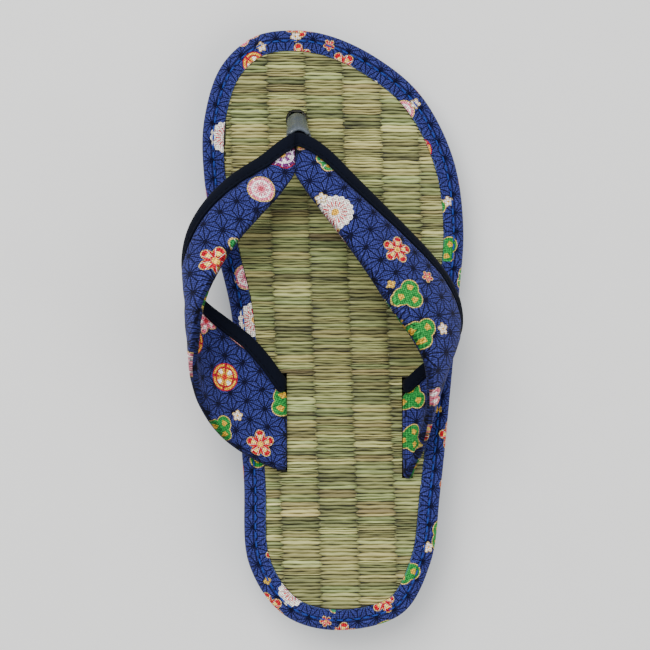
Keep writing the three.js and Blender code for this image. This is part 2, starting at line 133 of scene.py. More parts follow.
def unit(vectors: Array) -> Array:
    """Returns vectors scaled to a length of one."""
    return vectors / np.maximum(np.linalg.norm(vectors, axis=-1, keepdims=True), 1e-9)


def curve_through(points: Array, at: Array, closed: bool = False) -> Array:
    """Finds points of a centripetal Catmull-Rom curve.

    Args:
        points: What the curve passes through, one row each.
        at: Places on the curve, from 0 to 1.
        closed: Whether the curve returns to its first point.

    Returns:
        One row for each place.
    """
    count = len(points)
    spans = count if closed else count - 1
    place = np.clip(at, 0.0, 1.0) * spans
    index = np.minimum(place.astype(int), spans - 1)
    w = (place - index)[:, None]
    if closed:
        p0, p1, p2, p3 = (points[(index + step) % count] for step in (-1, 0, 1, 2))
    else:
        ends = (2 * points[:1] - points[1:2], points, 2 * points[-1:] - points[-2:-1])
        longer = np.vstack(ends)
        p0, p1, p2, p3 = (longer[index + step] for step in range(4))
    spacing = [
        np.maximum(((b - a) ** 2).sum(1) ** 0.25, 1e-4)[:, None]
        for a, b in ((p0, p1), (p1, p2), (p2, p3))
    ]
    d0, d1, d2 = spacing
    leave = ((p1 - p0) / d0 - (p2 - p0) / (d0 + d1) + (p2 - p1) / d1) * d1
    arrive = ((p2 - p1) / d1 - (p3 - p1) / (d1 + d2) + (p3 - p2) / d2) * d1
    return (
        (2 * w**3 - 3 * w**2 + 1) * p1
        + (w**3 - 2 * w**2 + w) * leave
        + (3 * w**2 - 2 * w**3) * p2
        + (w**3 - w**2) * arrive
    )


def lengths_along(points: Array) -> Array:
    """Returns the distance along a run of points, from 0 at the first."""
    steps = np.linalg.norm(np.diff(points, axis=0), axis=1)
    return np.concatenate([[0.0], np.cumsum(steps)])

def lengths_round(ring: Array) -> Array:
    """Returns the distance round a ring of points, with its whole length at the end."""
    return lengths_along(np.vstack([ring, ring[:1]]))


def flat_places(along: Array, across: Array) -> Array:
    """Returns texture places for rows and columns, from their distances."""
    return np.stack(np.broadcast_arrays(along[:, None], across[None, :]), axis=2)


def even_turns(count: int) -> Array:
    """Returns evenly spaced angles round a circle."""
    return np.arange(count) / count * math.tau


def quarter_turn(steps: int) -> list[float]:
    """Returns evenly spaced angles from 0 to a quarter of a circle."""
    return [step / steps * math.pi / 2 for step in range(steps + 1)]


def hump(distance: Array | float, width: float) -> Array:
    """Returns a smooth bump: 1 at no distance, and about a third at its width."""
    return np.exp(-((distance / width) ** 2))


class Draft:
    """A mesh under construction, in millimetres, with a texture place at each face corner."""

    def __init__(self) -> None:
        """Starts with no corners."""
        self.corners: list[Array] = []
        self.faces: list[tuple[int, ...]] = []
        self.places: list[Array] = []
        self.tones: list[Array] = []
        self.hues: list[Array] = []
        self.count = 0

    def grid(
        self,
        points: Array,
        places: Array | None = None,
        tone: Array | float = 0.0,
        hoop: bool = False,
        tube: bool = False,
        hue: Array | float = 0.5,
        ends: Array | None = None,
    ) -> Array:
        """Adds rows of quads.

        Args:
            points: Corners, by row and column.
            places: Texture places, with one more row for a hoop and column for a tube.
            tone: A shade from 0 to 1 for each corner, or for all.
            hoop: Whether the last row joins the first.
            tube: Whether the last column joins the first.
            hue: A colour family from 0 to 1 for each corner, or for all; on the cloth it carries
                painted shade instead.
            ends: Texture places on the far side of each column, where the texture breaks.

        Returns:
            The corners' numbers, by row and column.
        """
        rows, columns = points.shape[:2]
        number = self.count + np.arange(rows * columns).reshape(rows, columns)
        joined = np.vstack([number, number[:1]]) if hoop else number
        joined = np.hstack([joined, joined[:, :1]]) if tube else joined
        if places is None:
            places = np.zeros((*joined.shape, 2))
        pairs = ((joined, joined), (places, places if ends is None else ends))
        corners, flat = (
            np.stack((near[:-1, :-1], near[1:, :-1], far[1:, 1:], far[:-1, 1:]), axis=2)
            for near, far in pairs
        )
        self.faces.extend(map(tuple, corners.reshape(-1, 4).tolist()))
        self.places.append(flat.reshape(-1, 2))
        self.corners.append(points.reshape(-1, 3))
        self.tones.append(np.broadcast_to(tone, (rows, columns)).reshape(-1))
        self.hues.append(np.broadcast_to(hue, (rows, columns)).reshape(-1))
        self.count += rows * columns
        return number

    def face(self, numbers: list[int]) -> None:
        """Adds one face, given its corners' numbers in order."""
        self.faces.append(tuple(numbers))
        self.places.append(np.zeros((len(numbers), 2)))

    def cap(self, numbers: Array) -> None:
        """Closes both ends of a tube, given its corners' numbers."""
        self.face(numbers[0][::-1].tolist())
        self.face(numbers[-1].tolist())

    def make(self, name: str, material: Material) -> Object:
        """Makes the object.

        Args:
            name: The object's name.
            material: Its finish.

        Returns:
            The object, in the scene.
        """
        mesh = bpy.data.meshes.new(name)
        mesh.from_pydata((np.vstack(self.corners) * MM).tolist(), [], self.faces)
        layer = mesh.uv_layers.new(name="cloth")
        layer.data.foreach_set("uv", np.vstack(self.places).reshape(-1).astype(np.float32))
        for attribute, values in (("tone", self.tones), ("hue", self.hues)):
            shade = mesh.attributes.new(attribute, "FLOAT", "POINT")
            shade.data.foreach_set("value", np.concatenate(values).astype(np.float32))
        mesh.materials.append(material)
        mesh.shade_smooth()
        mesh.update()
        piece = bpy.data.objects.new(name, mesh)
        bpy.context.scene.collection.objects.link(piece)
        return piece

    def build(self, name: str, material: Material, slot: Slot, *nodes: str) -> Object:
        """Makes a piece that rides on the sandal's body, and logs it.

        Args:
            name: The piece's name.
            material: Its finish.
            slot: The record's finish slot, not used.
            *nodes: Solids that it replaces.

        Returns:
            The piece.
        """
        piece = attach(self.make(name, material), BODY)
        if nodes:
            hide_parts(*nodes)
        LOG.info("%s: %d faces", piece.name, len(piece.data.polygons))
        return piece


# Finishes


class Finish:
    """A material under construction, with short calls for the nodes that it often needs."""

    def __init__(self, name: str) -> None:
        """Starts a material of that name."""
        self.material = bpy.data.materials.new(name)
        self.material.use_nodes = True
        self.tree = self.material.node_tree
        self.shader = self.tree.nodes["Principled BSDF"]
        self.uv = add_node(self.tree, "ShaderNodeUVMap", uv_map="cloth")

    def math(self, operation: str, *values: object, clamp: bool = False) -> Node:
        """Adds a sum on numbers."""
        settings = {"operation": operation, "use_clamp": clamp}
        return add_node(self.tree, "ShaderNodeMath", dict(enumerate(values)), **settings)

    def vector(self, operation: str, *values: object) -> Node:
        """Adds a sum on places."""
        inputs = dict(enumerate(values))
        return add_node(self.tree, "ShaderNodeVectorMath", inputs, operation=operation)

    def noise(self, place: object, scale: float, detail: float, roughness: float = 0.5) -> Node:
        """Adds noise, with its scale in turns to a millimetre."""
        inputs = {"Vector": place, "Scale": scale, "Detail": detail, "Roughness": roughness}
        return add_node(self.tree, "ShaderNodeTexNoise", inputs)

    def attribute(self, name: str) -> NodeSocket:
        """Reads a shade that the mesh carries."""
        return add_node(self.tree, "ShaderNodeAttribute", attribute_name=name).outputs["Fac"]

    def mix(self, share: object, *colours: object) -> NodeSocket:
        """Mixes two colours, each a socket, a node or hex digits."""
        low, high = (linear(c) if isinstance(c, str) else c for c in colours)
        inputs = {0: share, 6: low, 7: high}
        return add_node(self.tree, "ShaderNodeMix", inputs, data_type="RGBA").outputs[2]

    def dim(self, colour: object, light: object) -> Node:
        """Makes a colour darker or brighter."""
        inputs = {0: colour, "Scale": light}
        return add_node(self.tree, "ShaderNodeVectorMath", inputs, operation="SCALE")

    def petals(self, angle: object, count: int) -> Node:
        """Makes a wave round a figure, with that many crests from 0 to 1."""
        turned = self.math("MULTIPLY", angle, count / 2)
        return self.math("ABSOLUTE", self.math("COSINE", turned))

    def sums(self, known: dict[object, object], rows: tuple[tuple, ...]) -> None:
        """Adds a run of sums.

        Args:
            known: What the sums may use, by name. It gains their results.
            rows: For each sum the result's name, the operation and its values.
        """
        for result, operation, *values in rows:
            known[result] = self.math(operation, *(known.get(v, v) for v in values))

    def done(
        self, colour: object, relief: tuple[float, float, object], settings: dict[str, float]
    ) -> Material:
        """Feeds the shader.

        Args:
            colour: The socket with the colour.
            relief: The bump's strength, depth in millimetres and height.
            settings: The shader's other values, by input.

        Returns:
            The material.
        """
        strength, depth, height = relief
        inputs = {"Strength": strength, "Distance": depth * MM, "Height": height}
        bump = add_node(self.tree, "ShaderNodeBump", inputs)
        self.tree.links.new(colour, self.shader.inputs["Base Color"])
        self.tree.links.new(bump.outputs[0], self.shader.inputs["Normal"])
        for name, value in settings.items():
            self.shader.inputs[name].default_value = value
        return self.material


@dataclass(frozen=True)
class Motif:
    """One printed figure: a lobed disc with an outline, strokes, rings and a wreath of dots."""

    chance: Pair
    radius: float
    lobes: int
    depth: float
    strokes: int
    stroke_share: float
    ring_pitch: float
    dots: int
    # The fill, its strokes and rings, the outline, the core and the dots
    colours: str


# Pine boughs, blossoms, wound thread balls and chrysanthemums, drawn afresh
MOTIFS = (
    Motif((0.0, 0.2), 6.0, 3, 0.34, 6, 0.05, 0.0, 3, "257a35 12401c b8a052 257a35 c4982c"),
    Motif((0.2, 0.32), 5.7, 5, 0.42, 10, 0.14, 0.0, 5, "a81422 e4d4cc b0965a dcac40 e4c860"),
    Motif((0.32, 0.42), 5.6, 5, 0.42, 10, 0.16, 0.0, 5, "c85a70 ecccd0 a8905c b02838 e8dcd8"),
    Motif((0.42, 0.53), 6.8, 16, 0.1, 16, 0.22, 0.0, 16, "dcd8ce c0606c dcd6cc d09a30 b81c28"),
    Motif((0.53, 0.63), 5.1, 2, 0.0, 8, 0.12, 1.6, 8, "cc6c80 ecdcdc b89c58 b04858 ecdcdc"),
    Motif((0.63, 0.72), 5.5, 2, 0.0, 4, 0.22, 1.9, 4, "d49c2c 98142a 98142a b83028 f0e8dc"),
    Motif((0.72, 0.81), 5.7, 6, 0.12, 12, 0.2, 1.7, 6, "5e2a5e d8c8d8 881830 cca048 ece4ec"),
    Motif((0.81, 0.87), 5.1, 4, 0.24, 8, 0.12, 0.0, 4, "247a3e d8e0d0 b89c58 d8e0d0 c4982c"),
)

SMALL_MOTIFS = (
    Motif((0.0, 0.12), 1.7, 4, 0.3, 4, 0.2, 0.0, 4, "cca03c dcbc60 98803c 7c4c28 cca03c"),
    Motif((0.12, 0.2), 2.3, 5, 0.4, 10, 0.2, 0.0, 5, "dcd8ce c8707c b0965a d09a30 dcd8ce"),
    Motif((0.2, 0.26), 2.5, 5, 0.4, 10, 0.2, 0.0, 5, "b01824 e8d8d0 b0965a dcac40 b01824"),
)


@dataclass(frozen=True)
class PrintedCotton:
    """Plain-woven cotton, screen printed.

    A matt cloth with a faint fuzz, which shows the print's lines softened by the threads.
    """

    name: str = "printed_cotton"
    ground: tuple[str, str] = ("23265a", "303675")
    line: str = "070822"
    raw_edge: str = "6f86bc"
    leaf_side: float = 7.4
    line_width: float = 0.42
    line_wobble: float = 0.5
    ring_width: float = 0.38
    outline_width: float = 0.42
    # Shares of a figure's radius: its core, and the dots' place and half width
    core_share: float = 0.2
    dot_place: float = 0.48
    dot_half: float = 0.16
    dot_edge: float = 0.86
    # Each layer of figures, with its cells' size and how far they are moved
    layers: tuple = ((MOTIFS, 19.0, 3.37), (SMALL_MOTIFS, 14.0, 8.11))
    # Real threads lie 0.35 mm apart, too fine for the picture, so they are drawn at 0.75 mm
    thread_pitch: float = 0.75
    thread_light: float = 0.52
    thread_shine: float = 1.55
    slub_contrast: float = 5.6
    darkest: float = 0.3

    def hemp_leaf(self, finish: Finish, x: object, y: object) -> object:
        """Draws the hemp leaf lattice: triangles, each split from its middle to its corners.

        Args:
            finish: The material under construction.
            x: The place along the cloth, in millimetres.
            y: The place across it.

        Returns:
            The distance to the nearest line.
        """
        side = self.leaf_side
        rise = side * math.sqrt(3) / 2
        known: dict[object, object] = {"x": x, "y": y, "nearest": rise}
        for turn in range(3):
            c, s = math.cos(turn * math.pi / 3), math.sin(turn * math.pi / 3)
            sums = (
                ("along_x", "MULTIPLY", "x", c),
                ("along", "MULTIPLY_ADD", "y", s, "along_x"),
                ("up_x", "MULTIPLY", "x", -s),
                ("up", "MULTIPLY_ADD", "y", c, "up_x"),
                ("edge", "PINGPONG", "up", rise / 2),
                ("spoke", "PINGPONG", "along", side / 4),
                ("lines", "MULTIPLY", "along", 2 / side),
                ("line", "ROUND", "lines"),
                ("shifted", "MULTIPLY_ADD", "line", rise, "up"),
                ("reach", "PINGPONG", "shifted", rise),
                ("beyond", "GREATER_THAN", "reach", rise * 2 / 3),
                ("spoke_end", "MULTIPLY_ADD", "beyond", side, "spoke"),
                ("either", "MINIMUM", "edge", "spoke_end"),
                ("nearest", "MINIMUM", "either", "nearest"),
            )
            finish.sums(known, sums)
        return known["nearest"]

    def scatter(
        self, finish: Finish, colour: object, motifs: tuple[Motif, ...], pitch: float, shift: float
    ) -> object:
        """Prints figures over the cloth, one to a cell, each turned at random.

        Args:
            finish: The material under construction.
            colour: What is printed so far.
            motifs: The figures.
            pitch: The cells' size.
            shift: How far the cells are moved.

        Returns:
            A socket with the printed colour.
        """
        spread, moved = (1 / pitch, 1 / pitch, 0.0), (shift, shift * 0.7, 0.0)
        cell_place = finish.vector("MULTIPLY_ADD", finish.uv, spread, moved)
        inputs = {"Vector": cell_place, "Scale": 1.0, "Randomness": 0.55}
        cells = add_node(finish.tree, "ShaderNodeTexVoronoi", inputs, voronoi_dimensions="2D")
        local = finish.vector("SUBTRACT", cell_place, cells.outputs["Position"])
        chance = add_node(finish.tree, "ShaderNodeSeparateColor", {0: cells.outputs["Color"]})
        turned = finish.math("MULTIPLY", chance.outputs[1], math.tau)
        inputs = {"Vector": local, "Angle": turned}
        spun = add_node(finish.tree, "ShaderNodeVectorRotate", inputs, rotation_type="Z_AXIS")
        split = add_node(finish.tree, "ShaderNodeSeparateXYZ", {0: spun})
        angle = finish.math("ARCTAN2", split.outputs[1], split.outputs[0])
        far = finish.vector("LENGTH", local).outputs["Value"]
        known: dict[object, object] = {
            "r": finish.math("MULTIPLY", far, pitch),
            "chance": chance.outputs[0],
        }
        for motif in motifs:
            low, high = motif.chance
            size, depth = motif.radius, motif.depth
            known["lobe"] = finish.petals(angle, motif.lobes)
            known["stroke"] = finish.petals(angle, motif.strokes)
            known["spot"] = finish.petals(angle, motif.dots)
            sums = (
                ("rim", "MULTIPLY_ADD", "lobe", size * depth, size * (1 - depth)),
                ("inside", "SUBTRACT", "rim", "r"),
                ("chosen", "COMPARE", "chance", (low + high) / 2, (high - low) / 2),
                ("in", "GREATER_THAN", "inside", 0.0),
                ("fill", "MULTIPLY", "in", "chosen"),
                ("on_stroke", "LESS_THAN", "stroke", motif.stroke_share),
                ("ring_wave", "PINGPONG", "r", motif.ring_pitch or 1.0),
                ("ring_line", "LESS_THAN", "ring_wave", self.ring_width),
                ("on_ring", "MULTIPLY", "ring_line", float(motif.ring_pitch > 0)),
                ("drawn", "MAXIMUM", "on_stroke", "on_ring"),
                ("second", "MULTIPLY", "drawn", "fill"),
                ("near_rim", "LESS_THAN", "inside", self.outline_width),
                ("outline", "MULTIPLY", "near_rim", "fill"),
                ("near_core", "LESS_THAN", "r", size * self.core_share),
                ("core", "MULTIPLY", "near_core", "fill"),
                ("dot_side", "GREATER_THAN", "spot", self.dot_edge),
                ("dot_reach", "COMPARE", "r", size * self.dot_place, size * self.dot_half),
                ("dot_shape", "MULTIPLY", "dot_side", "dot_reach"),
                ("dot", "MULTIPLY", "dot_shape", "fill"),
            )
            finish.sums(known, sums)
            fill, second, outline, core, dot = motif.colours.split()
            layers = {"fill": fill, "second": second, "dot": dot, "core": core, "outline": outline}
            for mask, shade in layers.items():
                colour = finish.mix(known[mask], colour, shade)
        return colour

    def material(self) -> Material:
        """Makes the material.

        Returns:
            Cotton with the hemp leaf lattice and scattered figures.
        """
        finish = Finish(self.name)
        split = add_node(finish.tree, "ShaderNodeSeparateXYZ", {0: finish.uv})
        x, y = split.outputs[0], split.outputs[1]
        # The dye takes unevenly, so the ground drifts between two blues
        printed = finish.mix(finish.noise(finish.uv, 0.22, 4.0), *self.ground)
        # The cloth drinks the ink, so that a line's width wavers
        wobble = finish.noise(finish.uv, 2.2, 2.0)
        least = (self.line_width - self.line_wobble) / 2
        width = finish.math("MULTIPLY_ADD", wobble, self.line_wobble, least)
        ink = finish.math("LESS_THAN", self.hemp_leaf(finish, x, y), width)
        printed = finish.mix(ink, printed, self.line)
        for motifs, pitch, shift in self.layers:
            printed = self.scatter(finish, printed, motifs, pitch, shift)

        # Each thread passes over and under the next: its raised crowns are painted lighter, a
        # painted highlight, and random slubs fleck the print
        turn = math.pi / self.thread_pitch
        slubs = finish.noise(finish.uv, 1 / self.thread_pitch, 3.0, 0.75)
        known: dict[object, object] = {"x": x, "y": y, "slubs": slubs}
        sums = (
            ("warp_turn", "MULTIPLY", "x", turn),
            ("warp", "SINE", "warp_turn"),
            ("weft_turn", "MULTIPLY", "y", turn),
            ("weft", "SINE", "weft_turn"),
            ("weave", "MULTIPLY", "warp", "weft"),
            ("speck", "ABSOLUTE", "weave"),
            ("slub", "SUBTRACT", "slubs", 0.5),
            ("fleck", "MULTIPLY_ADD", "slub", self.slub_contrast, self.thread_light),
            ("bright", "MULTIPLY_ADD", "speck", self.thread_shine, "fleck"),
            ("light", "MAXIMUM", "bright", self.darkest),
        )
        finish.sums(known, sums)
        speckled = finish.dim(printed, known["light"])
        # Painted shade: the hue attribute darkens the cloth in the seams' creases, beside the tape
        # and at the strap's fold
        unshaded_share = finish.math("MULTIPLY", finish.attribute("hue"), 2.0, clamp=True)
        speckled = finish.dim(speckled, unshaded_share)
        # The tone attribute marks raw edges, where loose threads show undyed cores in places
        fray = finish.noise(finish.uv, 0.16, 6.0, 0.85)
        loose = finish.math("MULTIPLY_ADD", fray, 3.0, -1.3, clamp=True)
        frayed = finish.math("MULTIPLY", finish.attribute("tone"), loose)
        edged = finish.mix(frayed, speckled, self.raw_edge)
        settings = {"Roughness": 0.92, "IOR": 1.45, "Specular IOR Level": 0.15}
        settings |= {"Sheen Weight": 0.03, "Sheen Roughness": 0.5}
        return finish.done(edged, (0.35, 0.12, known["speck"]), settings)


@dataclass(frozen=True)
class DriedRush:
    """Dried soft rush, woven over cotton warps.

    Smooth, faintly waxy stems, each of its own green, straw or brown, with fine grain.
    """

    name: str = "dried_rush"
    # From the painted shade in the gaps and the darkest stems to the palest, for green, straw and
    # brown stems
    green: tuple[str, ...] = ("141406", "434929", "818b54", "bcc681", "e8f2ab")
    straw: tuple[str, ...] = ("141306", "504c2a", "958f58", "d0c881", "f6ecaa")
    brown: tuple[str, ...] = ("151207", "443b21", "82714a", "b9a66b", "e2d192")
    # Grain runs along a stem, drawn at 0.5 mm because the real 0.1 mm can't show
    grain_turns: tuple[float, float, float] = (0.16, 2.0, 1.0)
    grain_contrast: float = 0.56
    patch_contrast: float = 0.24

    def material(self) -> Material:
        """Makes the material.

        Returns:
            Rush whose shade comes from the tone attribute and whose ripeness from the hue.
        """
        finish = Finish(self.name)
        grain = finish.noise(finish.vector("MULTIPLY", finish.uv, self.grain_turns), 1.0, 3.0)
        patches = finish.noise(finish.uv, 0.035, 2.0)
        tone, hue = finish.attribute("tone"), finish.attribute("hue")
        lighter = finish.math("MULTIPLY_ADD", grain, self.grain_contrast, tone)
        mottled = finish.math("MULTIPLY_ADD", patches, self.patch_contrast, lighter)
        # Both noises lie about 0.5, so their middle is taken off again
        middle = (self.grain_contrast + self.patch_contrast) / 2
        place = finish.math("SUBTRACT", mottled, middle)
        families = []
        for shades in (self.green, self.straw, self.brown):
            ramp = add_node(finish.tree, "ShaderNodeValToRGB", {0: place})
            steps = ramp.color_ramp.elements
            while len(steps) < len(shades):
                steps.new(0.5)
            for number, (step, colour) in enumerate(zip(steps, shades)):
                step.position = number / (len(shades) - 1)
                step.color = linear(colour)
            families.append(ramp)
        to_straw = finish.math("MULTIPLY", hue, 2.0, clamp=True)
        to_brown = finish.math("MULTIPLY_ADD", hue, 2.0, -1.0, clamp=True)
        ripe = finish.mix(to_straw, families[0], families[1])
        aged = finish.mix(to_brown, ripe, families[2])
        return finish.done(aged, (0.5, 0.1, grain), {"Roughness": 0.55, "IOR": 1.5})


@dataclass(frozen=True)
class Grained:
    """A finish with one ground colour broken up by fine grain."""

    name: str
    dark: str
    light: str
    grain_pitch: Pair
    roughness: float
    ior: float
    bump: float
    sheen: float = 0.0
    transmission: float = 0.0
    specular: float = 0.5

    def material(self) -> Material:
        """Makes the material.

        Returns:
            A ground that drifts between two shades under a fine relief.
        """
        finish = Finish(self.name)
        along, across = self.grain_pitch
        scaled = finish.vector("MULTIPLY", finish.uv, (1 / along, 1 / across, 1.0))
        grain = finish.noise(scaled, 1.0, 3.0)
        drift = finish.noise(finish.uv, 0.05, 2.0)
        both = finish.math("MULTIPLY_ADD", drift, 0.6, -0.05)
        share = finish.math("MULTIPLY_ADD", grain, 0.5, both)
        settings = {
            "Roughness": self.roughness,
            "IOR": self.ior,
            "Sheen Weight": self.sheen,
            "Transmission Weight": self.transmission,
            "Specular IOR Level": self.specular,
        }
        colour = finish.mix(share, self.dark, self.light)
        return finish.done(colour, (0.5, self.bump, grain), settings)


# Closed-cell foam, moulded: matt, with a fine pebbled skin
EVA_FOAM = Grained("eva_foam", "17405f", "2f5f82", (0.9, 0.9), 0.72, 1.45, 0.12)
# Cotton tape, woven with a close rib: almost black, with a dull bloom
NAVY_TAPE = Grained(
    "navy_cotton_tape", "04060f", "0c1120", (0.5, 1.1), 0.92, 1.45, 0.12, sheen=0.01, specular=0.12
)
# Twisted polyester thread: brighter than the cloth, with a soft gloss
BLUE_THREAD = Grained(
    "blue_polyester_thread", "0a2474", "1544ac", (0.5, 0.3), 0.5, 1.5, 0.08, specular=0.3
)
# The same thread, dyed as dark as the tape: dull
NAVY_THREAD = Grained(
    "navy_polyester_thread", "03050d", "070a18", (0.5, 0.3), 0.85, 1.5, 0.08, specular=0.1
)
# Unbleached cotton warp: dull, a dot between the rushes
WARP_THREAD = Grained("cotton_warp", "5c5a3c", "8a8660", (0.4, 0.4), 0.9, 1.45, 0.05)
# Plasticised PVC, extruded: greyish and clear enough to show the thong as a dark core
CLEAR_VINYL = Grained(
    "clear_pvc_tube", "262e36", "757f89", (0.9, 30.0), 0.2, 1.53, 0.05, transmission=0.25
)
# Seamless paper: matt and pale
PAPER = Grained("seamless_paper", "f0efed", "f5f5f3", (0.6, 0.6), 0.95, 1.45, 0.02)


# The last


@dataclass(frozen=True)
class Last:
    """The sole's plan and its heights, as in the part's source."""

    length: float = 240.0
    width: float = 104.0
    heel_to_origin: float = 36.0
    heel_height: float = 27.0
    ball_height: float = 17.0
    toe_lift: float = 4.0
    waist_arch: float = 1.5
    toe_spring: float = 5.0
    # Where these start and end, as shares of the length
    wedge_reach: Pair = (0.1, 0.72)
    lift_reach: Pair = (0.76, 1.0)
    arch_reach: Pair = (0.33, 0.56)
    spring_reach: Pair = (0.8, 1.0)
    outline: tuple[Pair, ...] = (
        (-0.01, 0.0), (0.25, 0.0266), (0.36, 0.11), (0.4, 0.23), (0.44, 0.385),
        (0.478, 0.545), (0.5, 0.672), (0.458, 0.791), (0.33, 0.895), (0.154, 0.957),
        (-0.02, 0.991), (-0.162, 1.0), (-0.315, 0.989), (-0.442, 0.94), (-0.508, 0.85),
        (-0.508, 0.757), (-0.462, 0.641), (-0.402, 0.525), (-0.379, 0.39), (-0.357, 0.25),
        (-0.337, 0.11), (-0.206, 0.0266),
    )  # fmt: skip

    def along_to_y(self, along: float) -> float:
        """Returns the Y of a share of the sole's length."""
        return along * self.length - self.heel_to_origin

    def footbed(self, y: Array) -> Array:
        """Returns the height of the mat's top at each Y."""
        along = (y + self.heel_to_origin) / self.length
        wedge = (1 + np.cos(np.pi * between(along, *self.wedge_reach))) / 2
        lift = between(along, *self.lift_reach) ** 2
        drop = self.heel_height - self.ball_height
        return self.ball_height + drop * wedge + self.toe_lift * lift

    def tread(self, y: Array) -> Array:
        """Returns the height of the sole's underside at each Y."""
        along = (y + self.heel_to_origin) / self.length
        arch = np.sin(np.pi * between(along, *self.arch_reach)) ** 2
        spring = between(along, *self.spring_reach) ** 2
        return self.waist_arch * arch + self.toe_spring * spring

    def rim(
        self,
        inset: Array | float,
        height: Array | float,
        steps: int,
        over: Callable[[Array], Array] | None = None,
    ) -> Array:
        """Finds a ring of points inside the outline.

        Args:
            inset: The distance in from the outline, for all points or each.
            height: The height over the footbed, for all points or each.
            steps: How many points the ring has.
            over: What the height is over, if not the footbed.

        Returns:
            One row for each point.
        """
        control = np.array([(x * self.width, self.along_to_y(y)) for x, y in self.outline])
        at = np.arange(steps) / steps
        place = curve_through(control, at, True)
        ahead = curve_through(control, np.mod(at + 1e-4, 1.0), True)
        behind = curve_through(control, np.mod(at - 1e-4, 1.0), True)
        tangent = unit(ahead - behind)
        x = place[:, 0] - tangent[:, 1] * inset
        y = place[:, 1] + tangent[:, 0] * inset
        return np.stack([x, y, (over or self.footbed)(y) + height], axis=1)

    def point(self, across: float, along: float, height: float = 0.0) -> Array:
        """Returns the point at a height over the footbed, from shares of width and length."""
        y = self.along_to_y(along)
        return np.array([across * self.width, y, float(self.footbed(y)) + height])

    def slit(self, ends: tuple[float, float, float, float]) -> tuple[Array, Array]:
        """Returns a slit's front and rear points on the footbed, from its shares."""
        return self.point(*ends[:2]), self.point(*ends[2:])


# The slits' front across and along, rear across and along, as shares of width and length
MEDIAL_SLIT = (-0.212, 0.4233, -0.212, 0.2667)
LATERAL_SLIT = (0.273, 0.4183, 0.27, 0.2533)
TOE_HOLE = (-0.152, 0.851)
TOE_HOLE_DIAMETER = 8.3
SLIT_END = 0.5


def sew(
    draft: Draft,
    path: Array,
    outward: Array,
    pitch: float,
    length: float,
    radius: float,
) -> None:
    """Adds a row of stitches that dip into the cloth at their ends.

    Args:
        draft: The mesh to add to.
        path: The seam's points, on the cloth.
        outward: The cloth's outward direction at each.
        pitch: The distance between stitches.
        length: A stitch's length.
        radius: The thread's radius.
    """
    run = lengths_along(path)
    count = int(run[-1] // pitch)
    spacing = run[-1] / count
    shares = np.linspace(-1.0, 1.0, 9)
    turns = even_turns(7)
    round_run = np.append(turns, math.tau) * radius
    for number in range(count):
        middle = (number + 0.5) * spacing
        at = middle + shares * length / 2
        centre, up = (
            np.stack([np.interp(at, run, rows[:, axis]) for axis in range(3)], axis=1)
            for rows in (path, outward)
        )
        up = unit(up)
        ahead = unit(np.gradient(centre, axis=0))
        side = unit(np.cross(ahead, up))
        # Thinnest and lowest at its ends, where the cloth holds it
        thick = radius * (1 - np.abs(shares) ** 5 * 0.75)
        lift = radius * (0.75 - 1.9 * shares**4)
        slope = side * 0.12 * radius * shares[:, None]
        centre = centre + up * lift[:, None] + slope
        ring = (
            centre[:, None, :]
            + side[:, None, :] * (np.cos(turns) * thick[:, None])[..., None]
            + up[:, None, :] * (np.sin(turns) * thick[:, None])[..., None]
        )
        # Twisted thread: the grain runs on a slant
        places = flat_places(at, round_run)
        places[..., 0] += places[..., 1] * 0.8
        draft.cap(draft.grid(ring, places, tube=True))


# Sub-assemblies


@dataclass
class Outsole:
    """The wedge of EVA foam under the mat, with its tread."""

    last: Last
    steps: int = 396
    columns: int = 48
    edge_round: float = 1.6
    draft_in: float = 0.6
    top: float = -6.5
    top_inset: float = 5.3
    groove_pitch: float = 6.0
    groove_depth: float = 0.9
    zigzag_pitch: float = 11.0
    zigzag_reach: float = 2.2
    # The tread starts and reaches its full depth at these distances from the edge
    plain_edge: float = 3.2
    run_out: float = 4.0

    def tread_relief(self, x: Array, y: Array, inset: Array) -> Array:
        """Finds how deep the zigzag grooves are cut.

        Args:
            x: Places across the sole.
            y: Places along it.
            inset: How far in from the edge each place is.

        Returns:
            The depth at each place.
        """
        zigzag = self.zigzag_reach * np.abs(np.mod(x / self.zigzag_pitch, 2.0) - 1.0)
        wave = np.abs(np.mod((y + zigzag) / self.groove_pitch, 2.0) - 1.0)
        groove = smooth(between(wave, 0.62, 0.86))
        depth = between(inset, self.plain_edge, self.plain_edge + self.run_out)
        return self.groove_depth * groove * smooth(depth)

    def build(self) -> None:
        """Builds the sole."""
        foot = CLEARANCE + self.draft_in
        rims = []
        for angle in quarter_turn(8):
            inset = foot + self.edge_round * (1 - math.sin(angle))
            height = self.edge_round * (1 - math.cos(angle))
            rims.append(self.last.rim(inset, height, self.steps, self.last.tread))
        ring, low = rims[0], rims[-1]
        high = self.last.rim(CLEARANCE, self.top, self.steps)
        rims += [low + (high - low) * step / 8 for step in range(1, 9)]
        rims.append(self.last.rim(self.top_inset, self.top, self.steps))
        wall = np.stack(rims, axis=1)
        draft = Draft()
        places = flat_places(lengths_round(wall[:, 8]), lengths_along(wall[0]))
        draft.grid(wall, places, hoop=True)

        # The underside, in rows from its right rim to its left
        rows = np.arange(0, self.steps // 2 + 1)
        right, left = ring[rows], ring[(self.steps - rows) % self.steps]
        share = np.linspace(0.0, 1.0, self.columns + 1)[None, :, None]
        face = right[:, None, :] * (1 - share) + left[:, None, :] * share
        x, y = face[..., 0], face[..., 1]
        edge = np.minimum(np.abs(x - right[:, None, 0]), np.abs(left[:, None, 0] - x))
        end = np.minimum(y - ring[:, 1].min(), ring[:, 1].max() - y)
        face[..., 2] = self.last.tread(y) + self.tread_relief(x, y, np.minimum(edge, end))
        draft.grid(face[:, ::-1], face[:, ::-1, :2])
        draft.build("sole_foam", EVA_FOAM.material(), Slot.FOAM, "outsole")


